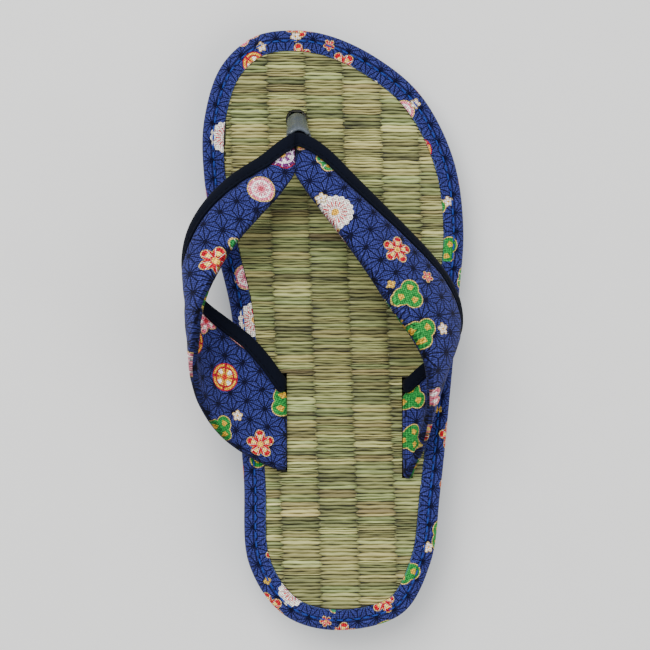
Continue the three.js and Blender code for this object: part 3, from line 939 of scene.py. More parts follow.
@dataclass
class RushMat:
    """The woven rush insole: stems that arch over each column and pinch at its warps."""

    last: Last
    columns: range = range(-4, 5)
    column_width: float = 15.15
    column_start: float = -11.2
    column_lean: float = -0.03
    lean_from: float = 141.6
    rows: int = 140
    row_pitch: float = 2.95
    edge_inset: float = 8.55
    slit_half: float = 2.15
    stem_rise: float = 0.95
    base_depth: float = 0.75
    bottom: float = -4.7
    segments: int = 10
    sides: int = 4
    # The middle shade and its spread from rush to rush, and by column and stem of one rush
    tone: tuple[float, ...] = (0.545, 0.055, 0.045, 0.07)
    hue: tuple[float, ...] = (0.26, 0.1, 0.085, 0.085)
    # The share of rushes that have turned brown, and how far
    aged: Pair = (0.05, 0.33)
    # The share of crossings with two stems side by side; the others have three
    pairs: float = 0.74
    # How unevenly the rows, the stems in a row and their heights turn out
    row_spread: Pair = (0.84, 1.16)
    row_shift: float = 0.07
    stem_spread: Pair = (0.68, 1.32)
    rise_spread: Pair = (0.78, 1.12)
    # Stems press into each other, run on under the next column and gather at a warp
    overlap: float = 1.1
    run_under: float = 0.8
    gather: float = 0.42
    shortest: float = 0.8
    # How much of its width and rise a stem keeps where a warp pinches it
    pinched_width: float = 0.26
    pinched_rise: float = 0.1
    # How far a stem sinks into the mat, and how its width and place waver
    seat: float = 0.55
    swell: float = 0.12
    sway: float = 0.16
    # How much painted shade darkens it at the warps, where it dips under, and down its rounded
    # sides
    end_shade: float = 0.3
    side_shade: float = 0.4
    warp_pitch: float = 5.2
    warp_bead: tuple[Pair, ...] = ((0.34, -0.5), (0.36, -0.15), (0.2, 0.06))
    ring: Array = field(init=False)

    def __post_init__(self) -> None:
        """Finds the mat's rim."""
        self.ring = self.last.rim(self.edge_inset, 0.0, 1200)

    @staticmethod
    def flanks(ring: Array) -> tuple[Array, Array]:
        """Splits a ring round the mat at its lowest and highest Y.

        Args:
            ring: Its points, counterclockwise.

        Returns:
            The left and right flanks, each in order of Y.
        """
        ring = np.roll(ring, -int(ring[:, 1].argmin()), axis=0)
        top = int(ring[:, 1].argmax())
        return np.concatenate([ring[:1], ring[top:][::-1]]), ring[: top + 1]

    @staticmethod
    def span(flanks: tuple[Array, Array], y: float) -> Pair:
        """Returns the X of both flanks at a Y."""
        left, right = (float(np.interp(y, flank[:, 1], flank[:, 0])) for flank in flanks)
        return left, right

    def boundary(self, column: int, y: float) -> float:
        """Returns the X of a column's left boundary at a Y."""
        lean = self.column_lean * (y - self.lean_from)
        return self.column_start + self.column_width * column + lean

    def clear_runs(self, y: float, low: float, high: float) -> list[Pair]:
        """Finds where a stem may lie, clear of the slits and the toe hole.

        Args:
            y: The stem's place along the mat.
            low: Its left end.
            high: Its right end.

        Returns:
            The left and right ends of each run.
        """
        holes = []
        for ends in (MEDIAL_SLIT, LATERAL_SLIT):
            front, rear = self.last.slit(ends)
            if rear[1] - SLIT_END < y < front[1] + SLIT_END:
                share = (y - rear[1]) / (front[1] - rear[1])
                middle = rear[0] + (front[0] - rear[0]) * share
                holes.append((middle - self.slit_half, middle + self.slit_half))
        hole_x, hole_y, _ = self.last.point(*TOE_HOLE)
        reach = TOE_HOLE_DIAMETER / 2 - 0.6
        if abs(y - hole_y) < reach:
            half = math.sqrt(reach**2 - (y - hole_y) ** 2)
            holes.append((hole_x - half, hole_x + half))
        runs = [(low, high)]
        for left, right in holes:
            cut = []
            for a, b in runs:
                cut.extend([(a, min(b, left)), (max(a, right), b)])
            runs = [(a, b) for a, b in cut if b - a > 0.5]
        return runs

    def trim(self, x: Array, y: Array) -> tuple[Array, Array]:
        """Keeps places within the mat's ends and out of its toe hole.

        Args:
            x: Places across the mat.
            y: Places along it.

        Returns:
            The places, moved to the mat's rim or the hole's where they were beyond it.
        """
        middle = (self.ring[:, 1].min() + self.ring[:, 1].max()) / 2
        for sign in (1.0, -1.0):
            end = self.ring[(self.ring[:, 1] - middle) * sign > 62.0]
            end = end[np.argsort(end[:, 0])]
            limit = np.interp(x, end[:, 0], end[:, 1]) * sign
            y = np.minimum(y * sign, limit) * sign
        hole_x, hole_y, _ = self.last.point(*TOE_HOLE)
        away_x, away_y = x - hole_x, y - hole_y
        distance = np.maximum(np.hypot(away_x, away_y), 1e-6)
        push = np.maximum((TOE_HOLE_DIAMETER / 2 + 0.15) / distance, 1.0)
        return hole_x + away_x * push, hole_y + away_y * push

    def stem(
        self,
        draft: Draft,
        run: Pair,
        ends: Pair,
        y: Pair,
        size: Pair,
        shade: Pair,
    ) -> None:
        """Adds one stem over one column.

        Args:
            draft: The mesh to add to.
            run: Where it is visible, from left to right.
            ends: The warps that pinch it, left and right.
            y: Its place along the mat at the column's middle and at the warps.
            size: Its full width and height.
            shade: Its tone and its hue.
        """
        width, rise = size
        tone, hue = shade
        eased = (1 - np.cos(np.linspace(0.0, math.pi, self.segments + 1))) / 2
        x = run[0] + (run[1] - run[0]) * eased
        share = between(x, *ends)
        arch = np.sqrt(np.clip(1 - np.abs(2 * share - 1) ** 6.0, 0.0, 1.0))
        wander = np.sin(x * 0.55 + 60 * tone) * np.sin(x * 0.23 + 90 * hue)
        wide = self.pinched_width + (1 - self.pinched_width) * arch
        half = width / 2 * wide * (1 + self.swell * wander)
        high = self.pinched_rise + (1 - self.pinched_rise) * arch
        top = rise * (high + 0.1 * wander) - self.seat
        centre = y[1] + (y[0] - y[1]) * arch + self.sway * wander * arch
        turns = np.linspace(0.0, math.pi, self.sides + 1)
        place_y = centre[:, None] - np.cos(turns)[None, :] * half[:, None]
        place_x = np.broadcast_to(x[:, None], place_y.shape)
        shape = np.sin(turns)[None, :] ** 0.8
        floor = -self.base_depth - 0.15
        lift = floor + (top[:, None] - floor) * shape
        place_x, place_y = self.trim(place_x, place_y)
        points = np.stack([place_x, place_y, self.last.footbed(place_y) + lift], axis=2)
        # Painted shade: darker toward the warps and down the stem's sides
        tone = tone - self.end_shade * (1 - arch[:, None]) - self.side_shade * (1 - shape)
        draft.grid(points, points[..., :2], tone, hue=hue)

    def weave(self) -> Draft:
        """Weaves the stems: the same rushes show in every other column.

        Returns:
            The mesh of all stems.
        """
        dice = np.random.default_rng(SEED)
        draft = Draft()
        low_y, high_y = self.ring[:, 1].min(), self.ring[:, 1].max()
        middle_y = (low_y + high_y) / 2
        flanks = self.flanks(self.ring)
        ends_by_x = self.ring[np.argsort(self.ring[:, 0])]
        toe = ends_by_x[ends_by_x[:, 1] > middle_y]
        heel = ends_by_x[ends_by_x[:, 1] <= middle_y]
        steps = dice.uniform(*self.row_spread, self.rows)
        knots = low_y - 3 + np.cumsum(steps * self.row_pitch)
        wefts = (knots, (knots[1:] + knots[:-1]) / 2)
        both = (2, self.rows)
        tones = dice.normal(*self.tone[:2], both)
        hues = dice.normal(*self.hue[:2], both) + self.aged[1] * (dice.random(both) < self.aged[0])
        for column in self.columns:
            weft = wefts[column % 2]
            edges = weft + dice.normal(0.0, self.row_shift, len(weft))
            for number, (low, high) in enumerate(zip(edges[:-1], edges[1:])):
                middle = (low + high) / 2
                count = 2 if dice.random() < self.pairs else 3
                split = dice.uniform(*self.stem_spread, count)
                shares = np.concatenate([[0.0], np.cumsum(split / split.sum())])
                marks = low + (high - low) * shares
                tone = tones[column % 2, number] + dice.normal(0.0, self.tone[2])
                hue = hues[column % 2, number] + dice.normal(0.0, self.hue[2])
                for start_y, stop_y in zip(marks[:-1], marks[1:]):
                    centre = (start_y + stop_y) / 2
                    # The side of the stem that lies deeper in the mat
                    inner = start_y if centre > middle_y else stop_y
                    if not low_y + 0.2 < inner < high_y - 0.2:
                        continue
                    ends = (
                        self.boundary(column, centre) - self.run_under,
                        self.boundary(column + 1, centre) + self.run_under,
                    )
                    left, right = self.span(flanks, inner)
                    start, stop = max(ends[0], left), min(ends[1], right)
                    if stop - start < self.shortest:
                        continue
                    # A stem at either end is no wider than the room that is left for it
                    across = np.linspace(start, stop, 5)
                    if stop_y > high_y - self.row_pitch:
                        room = np.interp(across, toe[:, 0], toe[:, 1]).max()
                        stop_y = min(stop_y, float(room))
                    elif start_y < low_y + self.row_pitch:
                        room = np.interp(across, heel[:, 0], heel[:, 1]).min()
                        start_y = max(start_y, float(room))
                    centre = (start_y + stop_y) / 2
                    shade = (
                        float(np.clip(tone + dice.normal(0.0, self.tone[3]), 0.12, 0.95)),
                        float(np.clip(hue + dice.normal(0.0, self.hue[3]), 0.0, 1.0)),
                    )
                    rise = self.stem_rise * dice.uniform(*self.rise_spread)
                    size = ((stop_y - start_y) * self.overlap, rise)
                    place = (centre, middle + (centre - middle) * self.gather)
                    for run in self.clear_runs(centre, start, stop):
                        self.stem(draft, run, ends, place, size, shade)
        return draft

    def base(self, draft: Draft) -> None:
        """Adds the layer under the stems, which shows between them as near-black painted shade in
        the gaps.

        Args:
            draft: The mesh to add to.
        """
        ring = self.last.rim(self.edge_inset - 0.2, 0.0, 1200)
        flanks = self.flanks(ring)
        rows = np.linspace(ring[:, 1].min() + 0.05, ring[:, 1].max() - 0.05, 250)
        for y0, y1 in zip(rows[:-1], rows[1:]):
            y = (y0 + y1) / 2
            for a, b in self.clear_runs(y, *self.span(flanks, y)):
                grid_y, grid_x = np.meshgrid((y0, y1), np.linspace(b, a, 3), indexing="ij")
                height = self.last.footbed(grid_y) - self.base_depth
                points = np.stack([grid_x, grid_y, height], axis=2)
                draft.grid(points, points[..., :2])

    def body(self, draft: Draft) -> None:
        """Adds the mat's thickness: its rim and the walls of its slits and hole.

        Args:
            draft: The mesh to add to.
        """
        # The walls take a low tone: painted shade in the slits, darkest in the toe hole
        rim = ((1.0, self.bottom), (-0.25, self.bottom), (-0.25, -self.base_depth))
        rings = [self.last.rim(self.edge_inset + inset, z, 396) for inset, z in rim]
        draft.grid(np.stack(rings, axis=1), None, 0.1, hoop=True)
        aside = np.array([self.slit_half, 0.0, 0.0])
        for ends in (MEDIAL_SLIT, LATERAL_SLIT):
            front, rear = self.last.slit(ends)
            front, rear = front + (0, SLIT_END, 0), rear - (0, SLIT_END, 0)
            corners = np.array([front + aside, front - aside, rear - aside, rear + aside])
            wall = [corners + (0, 0, -0.3), corners + (0, 0, self.bottom)]
            draft.grid(np.stack(wall, axis=1), None, 0.1, hoop=True)
        turns = even_turns(40)
        reach = TOE_HOLE_DIAMETER / 2 + 0.1
        circle = np.stack([np.cos(turns), np.sin(turns), np.zeros(40)], axis=1) * reach
        circle = circle + self.last.point(*TOE_HOLE)
        wall = [circle + (0, 0, -0.2), circle + (0, 0, self.bottom)]
        draft.grid(np.stack(wall, axis=1), None, -0.6, hoop=True)

    def warps(self) -> Draft:
        """Lays the dots of warp thread that show where stems pinch.

        Returns:
            Their mesh.
        """
        dice = np.random.default_rng(SEED + 1)
        draft = Draft()
        ring = self.last.rim(self.edge_inset + 1.2, 0.0, 600)
        flanks = self.flanks(ring)
        turns = even_turns(6)
        for column in (*self.columns, self.columns.stop):
            for y in np.arange(ring[:, 1].min() + 2, ring[:, 1].max() - 2, self.warp_pitch):
                y = float(y + dice.uniform(-1.6, 1.6))
                x = self.boundary(column, y) + dice.uniform(-0.5, 0.5)
                left, right = self.span(flanks, y)
                if not left < x < right or len(self.clear_runs(y, x - 0.6, x + 0.6)) != 1:
                    continue
                z = float(self.last.footbed(y))
                rings = []
                for size, rise in self.warp_bead:
                    ring_x = x + size * np.cos(turns)
                    ring_y = y + size * 0.9 * np.sin(turns)
                    rings.append(np.stack([ring_x, ring_y, np.full(6, z + rise)], axis=1))
                numbers = draft.grid(np.stack(rings, axis=0)[:, ::-1], None, tube=True)
                draft.face(numbers[-1][::-1].tolist())
        return draft

    def build(self) -> None:
        """Builds the woven mat and its warp threads."""
        draft = self.weave()
        self.base(draft)
        self.body(draft)
        draft.build("rush_mat", DriedRush().material(), Slot.RUSH, "insole_mat")
        self.warps().build("mat_warp", WARP_THREAD.material(), Slot.RUSH)


@dataclass
class EdgeBinding:
    """The strip of printed cotton folded round the mat's edge and sewn through it."""

    last: Last
    cotton: Material
    steps: int = 990
    width: float = 8.4
    lip: float = 5.0
    cloth: float = 0.9
    sink: float = 0.9
    mat_thickness: float = 5.0
    rim_round: float = 1.8
    foot_round: float = 0.5
    stitch_inset: float = 4.3
    stitch_pitch: float = 3.55
    stitch_length: float = 2.9
    thread_radius: float = 0.33
    thread_sunk: float = 0.24
    # Along the seam, the depth and half width of the dip, the swell and the painted shade in the
    # groove
    seam_dip: Pair = (0.5, 0.75)
    seam_swell: Pair = (0.2, 2.4)
    seam_groove_shade: Pair = (0.22, 0.55)
    # Past this inset the cloth isn't held down, and waves this much
    loose_from: float = 5.5
    looseness: float = 0.1
    # Where the strip is cut from the printed cloth
    lay: Pair = (620.0, 205.0)

    def section(self, distance: float) -> list[Pair]:
        """Finds the section round the mat's rim.

        Args:
            distance: How far out from the mat it runs.

        Returns:
            Inset and height of each point, from the lip under the mat to the raw edge.
        """
        wall = self.cloth + CLEARANCE
        path = [(self.lip, -self.mat_thickness - distance)]
        radius = self.foot_round + distance
        for angle in quarter_turn(4):
            inset = wall + self.foot_round - radius * math.sin(angle)
            path.append((inset, self.foot_round - self.mat_thickness - radius * math.cos(angle)))
        radius = self.rim_round + distance
        for angle in quarter_turn(8):
            inset = wall + self.rim_round - radius * math.cos(angle)
            path.append((inset, radius * math.sin(angle) - self.rim_round - self.sink))
        for inset in np.linspace(path[-1][0], self.width, 17)[1:]:
            path.append((float(inset), distance - self.sink))
        return path

    def build(self) -> None:
        """Builds the strip and its stitches."""
        outside = self.section(CLEARANCE + self.cloth)
        inside = self.section(CLEARANCE)[::-1]
        run = lengths_round(self.last.rim(self.stitch_inset, 0.0, self.steps))
        count = int(run[-1] // self.stitch_pitch)
        phase = run[:-1] / run[-1] * count * math.tau
        pucker = 0.5 + 0.5 * np.cos(phase)
        ease = np.sin(run[:-1] * 0.11) * np.sin(run[:-1] * 0.037 + 1.0)
        rims = []
        for inset, height in outside:
            from_seam = inset - self.stitch_inset
            (dip, narrow), (rise, wide) = self.seam_dip, self.seam_swell
            pinch = dip * hump(from_seam, narrow) * (0.6 + 0.6 * pucker)
            swell = rise * hump(from_seam, wide) - pinch
            loose = self.looseness * ease * (inset > self.loose_from)
            rims.append(self.last.rim(inset, height + swell + loose, self.steps))
        for inset, height in inside:
            rims.append(self.last.rim(inset, height, self.steps))
        wall = np.stack(rims, axis=1)
        places = flat_places(run, lengths_round(wall[0])) + self.lay
        # The raw edge frays in the last half millimetre
        fray = np.zeros(wall.shape[1])
        last_out = len(outside) - 1
        fray[last_out - 2 : last_out + 2] = (0.0, 0.25, 1.0, 1.2)
        inset = np.array([place for place, _ in outside + inside])
        # Painted shade darkens the cloth along the stitched groove
        darker, width = self.seam_groove_shade
        seam_shade = 0.5 - darker * hump(inset - self.stitch_inset, width)
        draft = Draft()
        draft.grid(wall, places, fray[None, :], hoop=True, tube=True, hue=seam_shade[None, :])
        draft.build("binding_strip", self.cotton, Slot.CLOTH, "edge_binding")

        thread = Draft()
        flat = CLEARANCE + self.cloth - self.sink - self.thread_sunk
        seam = self.last.rim(self.stitch_inset, flat, self.steps * 2)
        seam = np.vstack([seam, seam[:1]])
        outward = np.broadcast_to(np.array([0.0, 0.0, 1.0]), seam.shape)
        sew(thread, seam, outward, self.stitch_pitch, self.stitch_length, self.thread_radius)
        thread.build("binding_stitches", BLUE_THREAD.material(), Slot.CLOTH)


@dataclass
class Straps:
    """The padded cloth straps, one band from slit to slit, with the taped front hem."""

    last: Last
    cotton: Material
    rise: float = 42.0
    thickness: float = 3.6
    hem: float = 1.3
    tape_width: float = 5.7
    tape_thickness: float = 0.7
    tail: float = 9.0
    stitch_inset: float = 1.2
    stitch_pitch: float = 2.7
    stitch_length: float = 2.1
    thread_radius: float = 0.2
    # The share of the band's run that lies clear of the slits, where stitches show
    sewn: Pair = (0.075, 0.925)
    steps: int = 480
    nudge: float = 1e-3
    print_rise: float = 0.55
    # How each arm's cloth is turned and where it is cut from the printed cloth
    medial_lay: tuple[float, float, float] = (-24.0, 205.0, 133.0)
    lateral_lay: tuple[float, float, float] = (17.0, 163.0, 140.0)
    lining_lay: Pair = (17.0, 140.0)
    # The band's whole run, and millimetres along it by its seam for all of its places
    run: float = 420.0
    seam_scale: float = 150.0
    # Depth and half width of the dips at the seam, in the pad's thickness and in its painted shade
    crease_dips: tuple[Pair, ...] = ((0.56, 0.7), (0.28, 2.4))
    crease_shade_dips: tuple[Pair, ...] = ((0.45, 3.0), (0.55, 1.3))
    # How deep in the slit the pad is squeezed, how much, and over what length
    mouth: tuple[float, ...] = (14.0, 0.25, math.sqrt(20.0))
    hem_lift: float = 0.3
    shoulder: float = 2.2
    crowning: float = 0.16
    # Front across, along and rise, rear across, along and rise, and bow
    seam: tuple[float, ...] = (-0.163, 0.8239, 0.405, -0.17, 0.7585, 0.476, 0.012)
    medial: tuple[tuple[float, ...], ...] = (
        (-0.213, 0.8137, 0.436, -0.19, 0.7433, 0.524, 0.019),
        (-0.297, 0.7847, 0.464, -0.231, 0.7183, 0.595, 0.024),
        (-0.414, 0.7501, 0.5, -0.305, 0.6833, 0.714, 0.036),
        (-0.512, 0.7059, 0.512, -0.392, 0.6406, 0.833, 0.048),
        (-0.568, 0.6603, 0.5, -0.456, 0.5985, 0.917, 0.052),
        (-0.581, 0.6148, 0.452, -0.505, 0.5582, 0.976, 0.06),
        (-0.558, 0.5741, 0.381, -0.534, 0.5198, 0.988, 0.06),
        (-0.507, 0.5463, 0.31, -0.545, 0.4829, 0.952, 0.1),
        (-0.426, 0.52, 0.25, -0.556, 0.4373, 0.81, 0.115),
        (-0.329, 0.4885, 0.19, -0.527, 0.3793, 0.565, 0.083),
        (-0.262, 0.4568, 0.15, -0.438, 0.322, 0.33, 0.05),
        (-0.229, 0.437, 0.117, -0.3, 0.2812, 0.17, 0.02),
        (-0.213, 0.425, 0.07, -0.216, 0.2667, 0.07, 0.0),
    )
    lateral: tuple[tuple[float, ...], ...] = (
        (-0.107, 0.8162, 0.436, -0.155, 0.7449, 0.524, 0.019),
        (-0.04, 0.7954, 0.46, -0.122, 0.7215, 0.595, 0.024),
        (0.061, 0.7503, 0.476, -0.065, 0.6867, 0.69, 0.036),
        (0.165, 0.7045, 0.476, 0.01, 0.6424, 0.798, 0.048),
        (0.263, 0.6623, 0.44, 0.082, 0.597, 0.881, 0.06),
        (0.355, 0.6199, 0.393, 0.15, 0.5503, 0.952, 0.071),
        (0.422, 0.5807, 0.345, 0.208, 0.5134, 0.976, 0.083),
        (0.461, 0.5397, 0.286, 0.261, 0.4813, 0.952, 0.083),
        (0.459, 0.5034, 0.245, 0.301, 0.4491, 0.893, 0.083),
        (0.407, 0.4736, 0.22, 0.321, 0.4068, 0.762, 0.083),
        (0.341, 0.449, 0.185, 0.328, 0.3518, 0.5, 0.071),
        (0.293, 0.4305, 0.135, 0.305, 0.2918, 0.21, 0.03),
        (0.274, 0.42, 0.07, 0.272, 0.2533, 0.07, 0.0),
    )
    front: Array = field(init=False)
    crown: Array = field(init=False)
    rear: Array = field(init=False)

    def __post_init__(self) -> None:
        """Lays out the guides that the band's front, crown and rear follow."""
        rows = [
            self.tail_row(MEDIAL_SLIT, self.tail),
            self.tail_row(MEDIAL_SLIT, 0.0),
            *[self.arm_row(row) for row in reversed(self.medial)],
            self.arm_row(self.seam),
            *[self.arm_row(row) for row in self.lateral],
            self.tail_row(LATERAL_SLIT, 0.0),
            self.tail_row(LATERAL_SLIT, self.tail),
        ]
        self.front, self.rear = (np.array([row[end] for row in rows]) for end in (0, 1))
        bow = np.array([row[2] for row in rows])
        both = self.front + self.rear
        after = np.vstack([both[1:], both[-1:]])
        before = np.vstack([both[:1], both[:-1]])
        outward = unit(np.cross(self.rear - self.front, after - before))
        self.crown = both / 2 + outward * bow[:, None]

    def arm_row(self, row: tuple[float, ...]) -> tuple[Array, Array, float]:
        """Returns a section's front and rear points and its bow."""
        front = self.last.point(row[0], row[1], row[2] * self.rise)
        rear = self.last.point(row[3], row[4], row[5] * self.rise)
        return front, rear, row[6] * self.rise

    def tail_row(self, slit: tuple[float, ...], depth: float) -> tuple[Array, Array, float]:
        """Returns the section of an arm's straight end at a depth in its slit."""
        return self.last.point(*slit[:2], -depth), self.last.point(*slit[2:], -depth), 0.0

    def surface(self, at: Array, share: Array) -> Array:
        """Finds points of the band's middle surface.

        Args:
            at: Places along the band, from 0 to 1.
            share: For each, places across it, from 0 at the hem to 1 at the fold.

        Returns:
            Points, by place along and across.
        """
        guides = (self.front, self.rear, self.crown)
        front, rear, crown = (curve_through(guide, at)[:, None, :] for guide in guides)
        s = share[..., None]
        bow = crown - (front + rear) / 2
        return front + (rear - front) * s + bow * 4 * s * (1 - s)

    def forward(self, at: Array, share: Array) -> Array:
        """Returns short steps along the band."""
        late = self.surface(np.minimum(at + self.nudge, 1), share)
        return late - self.surface(np.maximum(at - self.nudge, 0), share)

    def offset(self, at: Array, share: Array, height: Array) -> Array:
        """Finds points beside the middle surface.

        Args:
            at: Places along the band.
            share: Places across it.
            height: Heights over the middle surface.

        Returns:
            Points, by place along and across.
        """
        rearward = self.surface(at, share + self.nudge) - self.surface(at, share - self.nudge)
        outward = unit(np.cross(rearward, self.forward(at, share)))
        return self.surface(at, share) + outward * height[..., None]

    def widths(self, at: Array) -> Array:
        """Returns the band's width at each place along it."""
        marks = self.surface(at, np.broadcast_to([0.0, 0.5, 1.0], (len(at), 3)))
        return np.linalg.norm(np.diff(marks, axis=1), axis=2).sum(axis=1)

    def slants(self, at: Array) -> Array:
        """Returns how much longer a step across is than its distance from the hem."""
        zero = np.zeros((len(at), 1))
        rearward = unit(self.surface(at, zero + self.nudge) - self.surface(at, zero))[:, 0]
        forward = unit(self.forward(at, zero)[:, 0])
        return 1 / np.linalg.norm(np.cross(rearward, forward), axis=1)

    def flat_pattern(self, at: Array) -> tuple[Array, Array]:
        """Unrolls the band, with less cloth in its steep parts.

        The print then looks as open from over the sandal as it does on the real straps.

        Args:
            at: Places along the band.

        Returns:
            The flat places of its front and rear edges.
        """
        ends = self.surface(at, np.broadcast_to([0.0, 1.0], (len(at), 2)))
        ends = ends * (1.0, 1.0, self.print_rise)
        front, rear = ends[:, 0], ends[:, 1]
        width = np.linalg.norm(rear - front, axis=1)
        flat_front = np.zeros((len(at), 2))
        flat_rear = np.zeros((len(at), 2))
        flat_rear[0] = (0.0, width[0])
        for i in range(len(at) - 1):
            step = np.linalg.norm(front[i + 1] - front[i])
            slant = np.linalg.norm(front[i + 1] - rear[i])
            flat_front[i + 1] = self.meet(flat_front[i], flat_rear[i], step, slant)
            step = np.linalg.norm(rear[i + 1] - rear[i])
            flat_rear[i + 1] = self.meet(flat_front[i + 1], flat_rear[i], width[i + 1], step)
        return flat_front, flat_rear

    @staticmethod
    def meet(low: Array, high: Array, from_low: float, from_high: float) -> Array:
        """Finds where two arcs meet, to the right of the line from low to high.

        Args:
            low: The first arc's centre.
            high: The second arc's centre.
            from_low: The first radius.
            from_high: The second radius.

        Returns:
            The flat place.
        """
        line = high - low
        gap = max(float(np.linalg.norm(line)), 1e-6)
        along = (from_low**2 - from_high**2 + gap**2) / (2 * gap)
        aside = math.sqrt(max(from_low**2 - along**2, 0.0))
        ahead = line / gap
        return low + ahead * along + np.array([ahead[1], -ahead[0]]) * aside

    def softness(self, at: Array, distance: Array) -> Array:
        """Finds the filling's small swells and the pull of the slits.

        Args:
            at: Places along the band.
            distance: Distances from the hem.

        Returns:
            What to add to the half thickness.
        """
        run = at[:, None] * self.run
        swell = 0.1 * np.sin(run * 0.21 + 1.3 * np.sin(distance * 0.2))
        swell = swell + 0.06 * np.sin(run * 0.53 - distance * 0.31 + 0.7)
        place, depth, width = self.mouth
        squeeze = hump(np.minimum(at, 1 - at) * self.run - place, width)
        return swell - depth * squeeze[:, None]

    def dip(self, at: Array, dips: tuple[Pair, ...]) -> Array:
        """Returns the share of something that is left by the seam, as a column."""
        beside = ((at - self.seam_at()) * self.seam_scale)[:, None]
        return 1 - sum(depth * hump(beside, width) for depth, width in dips)

    def seam_at(self) -> float:
        """Returns where along the band the seam lies."""
        return (2 + len(self.medial)) / (len(self.front) - 1)

    def pad_face(self, width: Array, slant: Array) -> tuple[Array, Array]:
        """Lays out one face of the pad, from the hem to the fold.

        Args:
            width: The band's width at each place along it.
            slant: Its slant at each.

        Returns:
            Distances from the hem and heights, by place along and across.
        """
        hem, half = self.hem / 2, self.thickness / 2
        hem_end = (self.tape_width + CLEARANCE - 0.5) * slant
        full = width - half
        level = np.ones_like(width)
        start = CLEARANCE + self.tape_thickness
        face = [(level * start, level * self.hem_lift), ((hem + start) * slant, level * hem)]
        face.append((hem_end, level * hem))
        for share in np.linspace(0.0, 1.0, 25)[1:]:
            distance = hem_end + (full - hem_end) * share**1.15
            shoulder = smooth(between(distance, hem_end, hem_end + self.shoulder))
            crowned = self.crowning * math.sin(math.pi * min(share * 1.02, 1.0))
            face.append((distance, hem + (half + crowned - hem) * shoulder))
        for angle in quarter_turn(8)[1:-1]:
            face.append((full + half * math.sin(angle), level * half * math.cos(angle)))
        distances, heights = (np.stack(columns, axis=1) for columns in zip(*face))
        return distances, heights

    def painted_shade(self, at: Array, distance: Array, width: Array) -> Array:
        """Finds the painted shade: darker in the seam's crease, in the tape's shadow and where the
        pad rounds over at the fold.

        Args:
            at: Places along the band.
            distance: Distances from the hem, by place along and across.
            width: The band's width at each place along.

        Returns:
            Shades up to 0.5, where the print keeps its own colours.
        """
        hem = self.tape_width * self.slants(at)[:, None]
        hem_side = smooth(between(distance, hem, hem + 1.3))
        fold_side = smooth(between(width[:, None] - distance, 0.0, 2.2))
        light = 0.5 * (0.4 + 0.6 * hem_side) * (0.35 + 0.65 * fold_side)
        return light * self.dip(at, self.crease_shade_dips)

    def build_pad(self) -> None:
        """Builds the padded band."""
        at = np.linspace(0.0, 1.0, self.steps + 1)
        width = self.widths(at)
        distance, height = self.pad_face(width, self.slants(at))
        fade = between(height, self.hem / 2, self.thickness / 2)
        full = (height + self.softness(at, distance) * fade) * self.dip(at, self.crease_dips)
        share = distance / width[:, None]
        faces = (self.offset(at, share, full), self.offset(at, share, -full)[:, ::-1])
        ring = np.concatenate(faces, axis=1)
        share = np.concatenate([share, share[:, ::-1], share[:, :1]], axis=1)
        flat_front, flat_rear = self.flat_pattern(at)
        lay = flat_rear - flat_front
        places = flat_front[:, None, :] + lay[:, None, :] * share[..., None]
        # The lining is cut to the same shape turned over, so the print breaks at the fold
        fold = distance.shape[1]
        ends = places.copy()
        lining = slice(fold, 2 * fold)
        places[:, lining] = places[:, lining] * (1.0, -1.0) + self.lining_lay
        ends[:, fold + 1 : 2 * fold] = places[:, fold + 1 : 2 * fold]
        # Painted shade, carried in the hue attribute: the crease, the tape's shadow and the fold
        shade = self.painted_shade(at, distance, width)
        shade = np.concatenate([shade, shade[:, ::-1]], axis=1)
        # The two arms are cut apart and meet at the seam, so the print breaks there
        middle = int(round(self.seam_at() * self.steps))
        draft = Draft()
        for rows, (degrees, *shift) in (
            (slice(0, middle + 1), self.medial_lay),
            (slice(middle, None), self.lateral_lay),
        ):
            c, s = math.cos(math.radians(degrees)), math.sin(math.radians(degrees))
            turn = np.array([[c, s], [-s, c]])
            near, far = (flat[rows][:, ::-1] @ turn + shift for flat in (places, ends))
            strip = ring[rows][:, ::-1]
            draft.grid(strip, far, tube=True, hue=shade[rows][:, ::-1], ends=near)
        pad = draft.build("strap_pad", self.cotton, Slot.CLOTH, "strap_upper")

    def build_tape(self) -> None:
        """Builds the tape round the hem and its stitches."""
        inner = self.hem / 2 + CLEARANCE - 0.2
        outer = self.hem / 2 + CLEARANCE + self.tape_thickness
        stitch = self.tape_width - self.stitch_inset
        # How far the outside stands off its flat height, at distances from the turn's centre
        puff = (
            (2.0, 0.12),
            (2.7, 0.2),
            (3.3, 0.14),
            (stitch - 0.5, 0.0),
            (stitch, -0.28),
            (stitch + 0.4, -0.06),
            (self.tape_width - 0.2, -0.08),
            (self.tape_width, -0.3),
        )
        section = []
        for radius, sign in ((outer, 1.0), (inner, -1.0)):
            flank = [(d, radius + lift * (sign > 0)) for d, lift in puff]
            path = [(d, -height) for d, height in reversed(flank)]
            for angle in np.linspace(-math.pi / 2, math.pi / 2, 13):
                path.append((outer - radius * math.cos(angle), radius * math.sin(angle)))
            path += flank
            section += path if sign > 0 else path[::-1]
        rows = np.array(section)
        at = np.linspace(0.0, 1.0, self.steps + 1)
        share = rows[None, :, 0] * self.slants(at)[:, None] / self.widths(at)[:, None]
        ring = self.offset(at, share, rows[None, :, 1] * self.dip(at, self.crease_dips))
        draft = Draft()
        places = flat_places(lengths_along(ring[:, 12]), lengths_round(ring[0]))
        numbers = draft.grid(ring, places, tube=True)
        for end, order in ((0, 1), (-1, -1)):
            edge = numbers[end].tolist()
            for i in range(len(edge) // 2 - 1):
                quad = [edge[i], edge[i + 1], edge[-i - 2], edge[-i - 1]]
                draft.face(quad[::order])
        draft.build("hem_tape", NAVY_TAPE.material(), Slot.TAPE, "strap_tape")

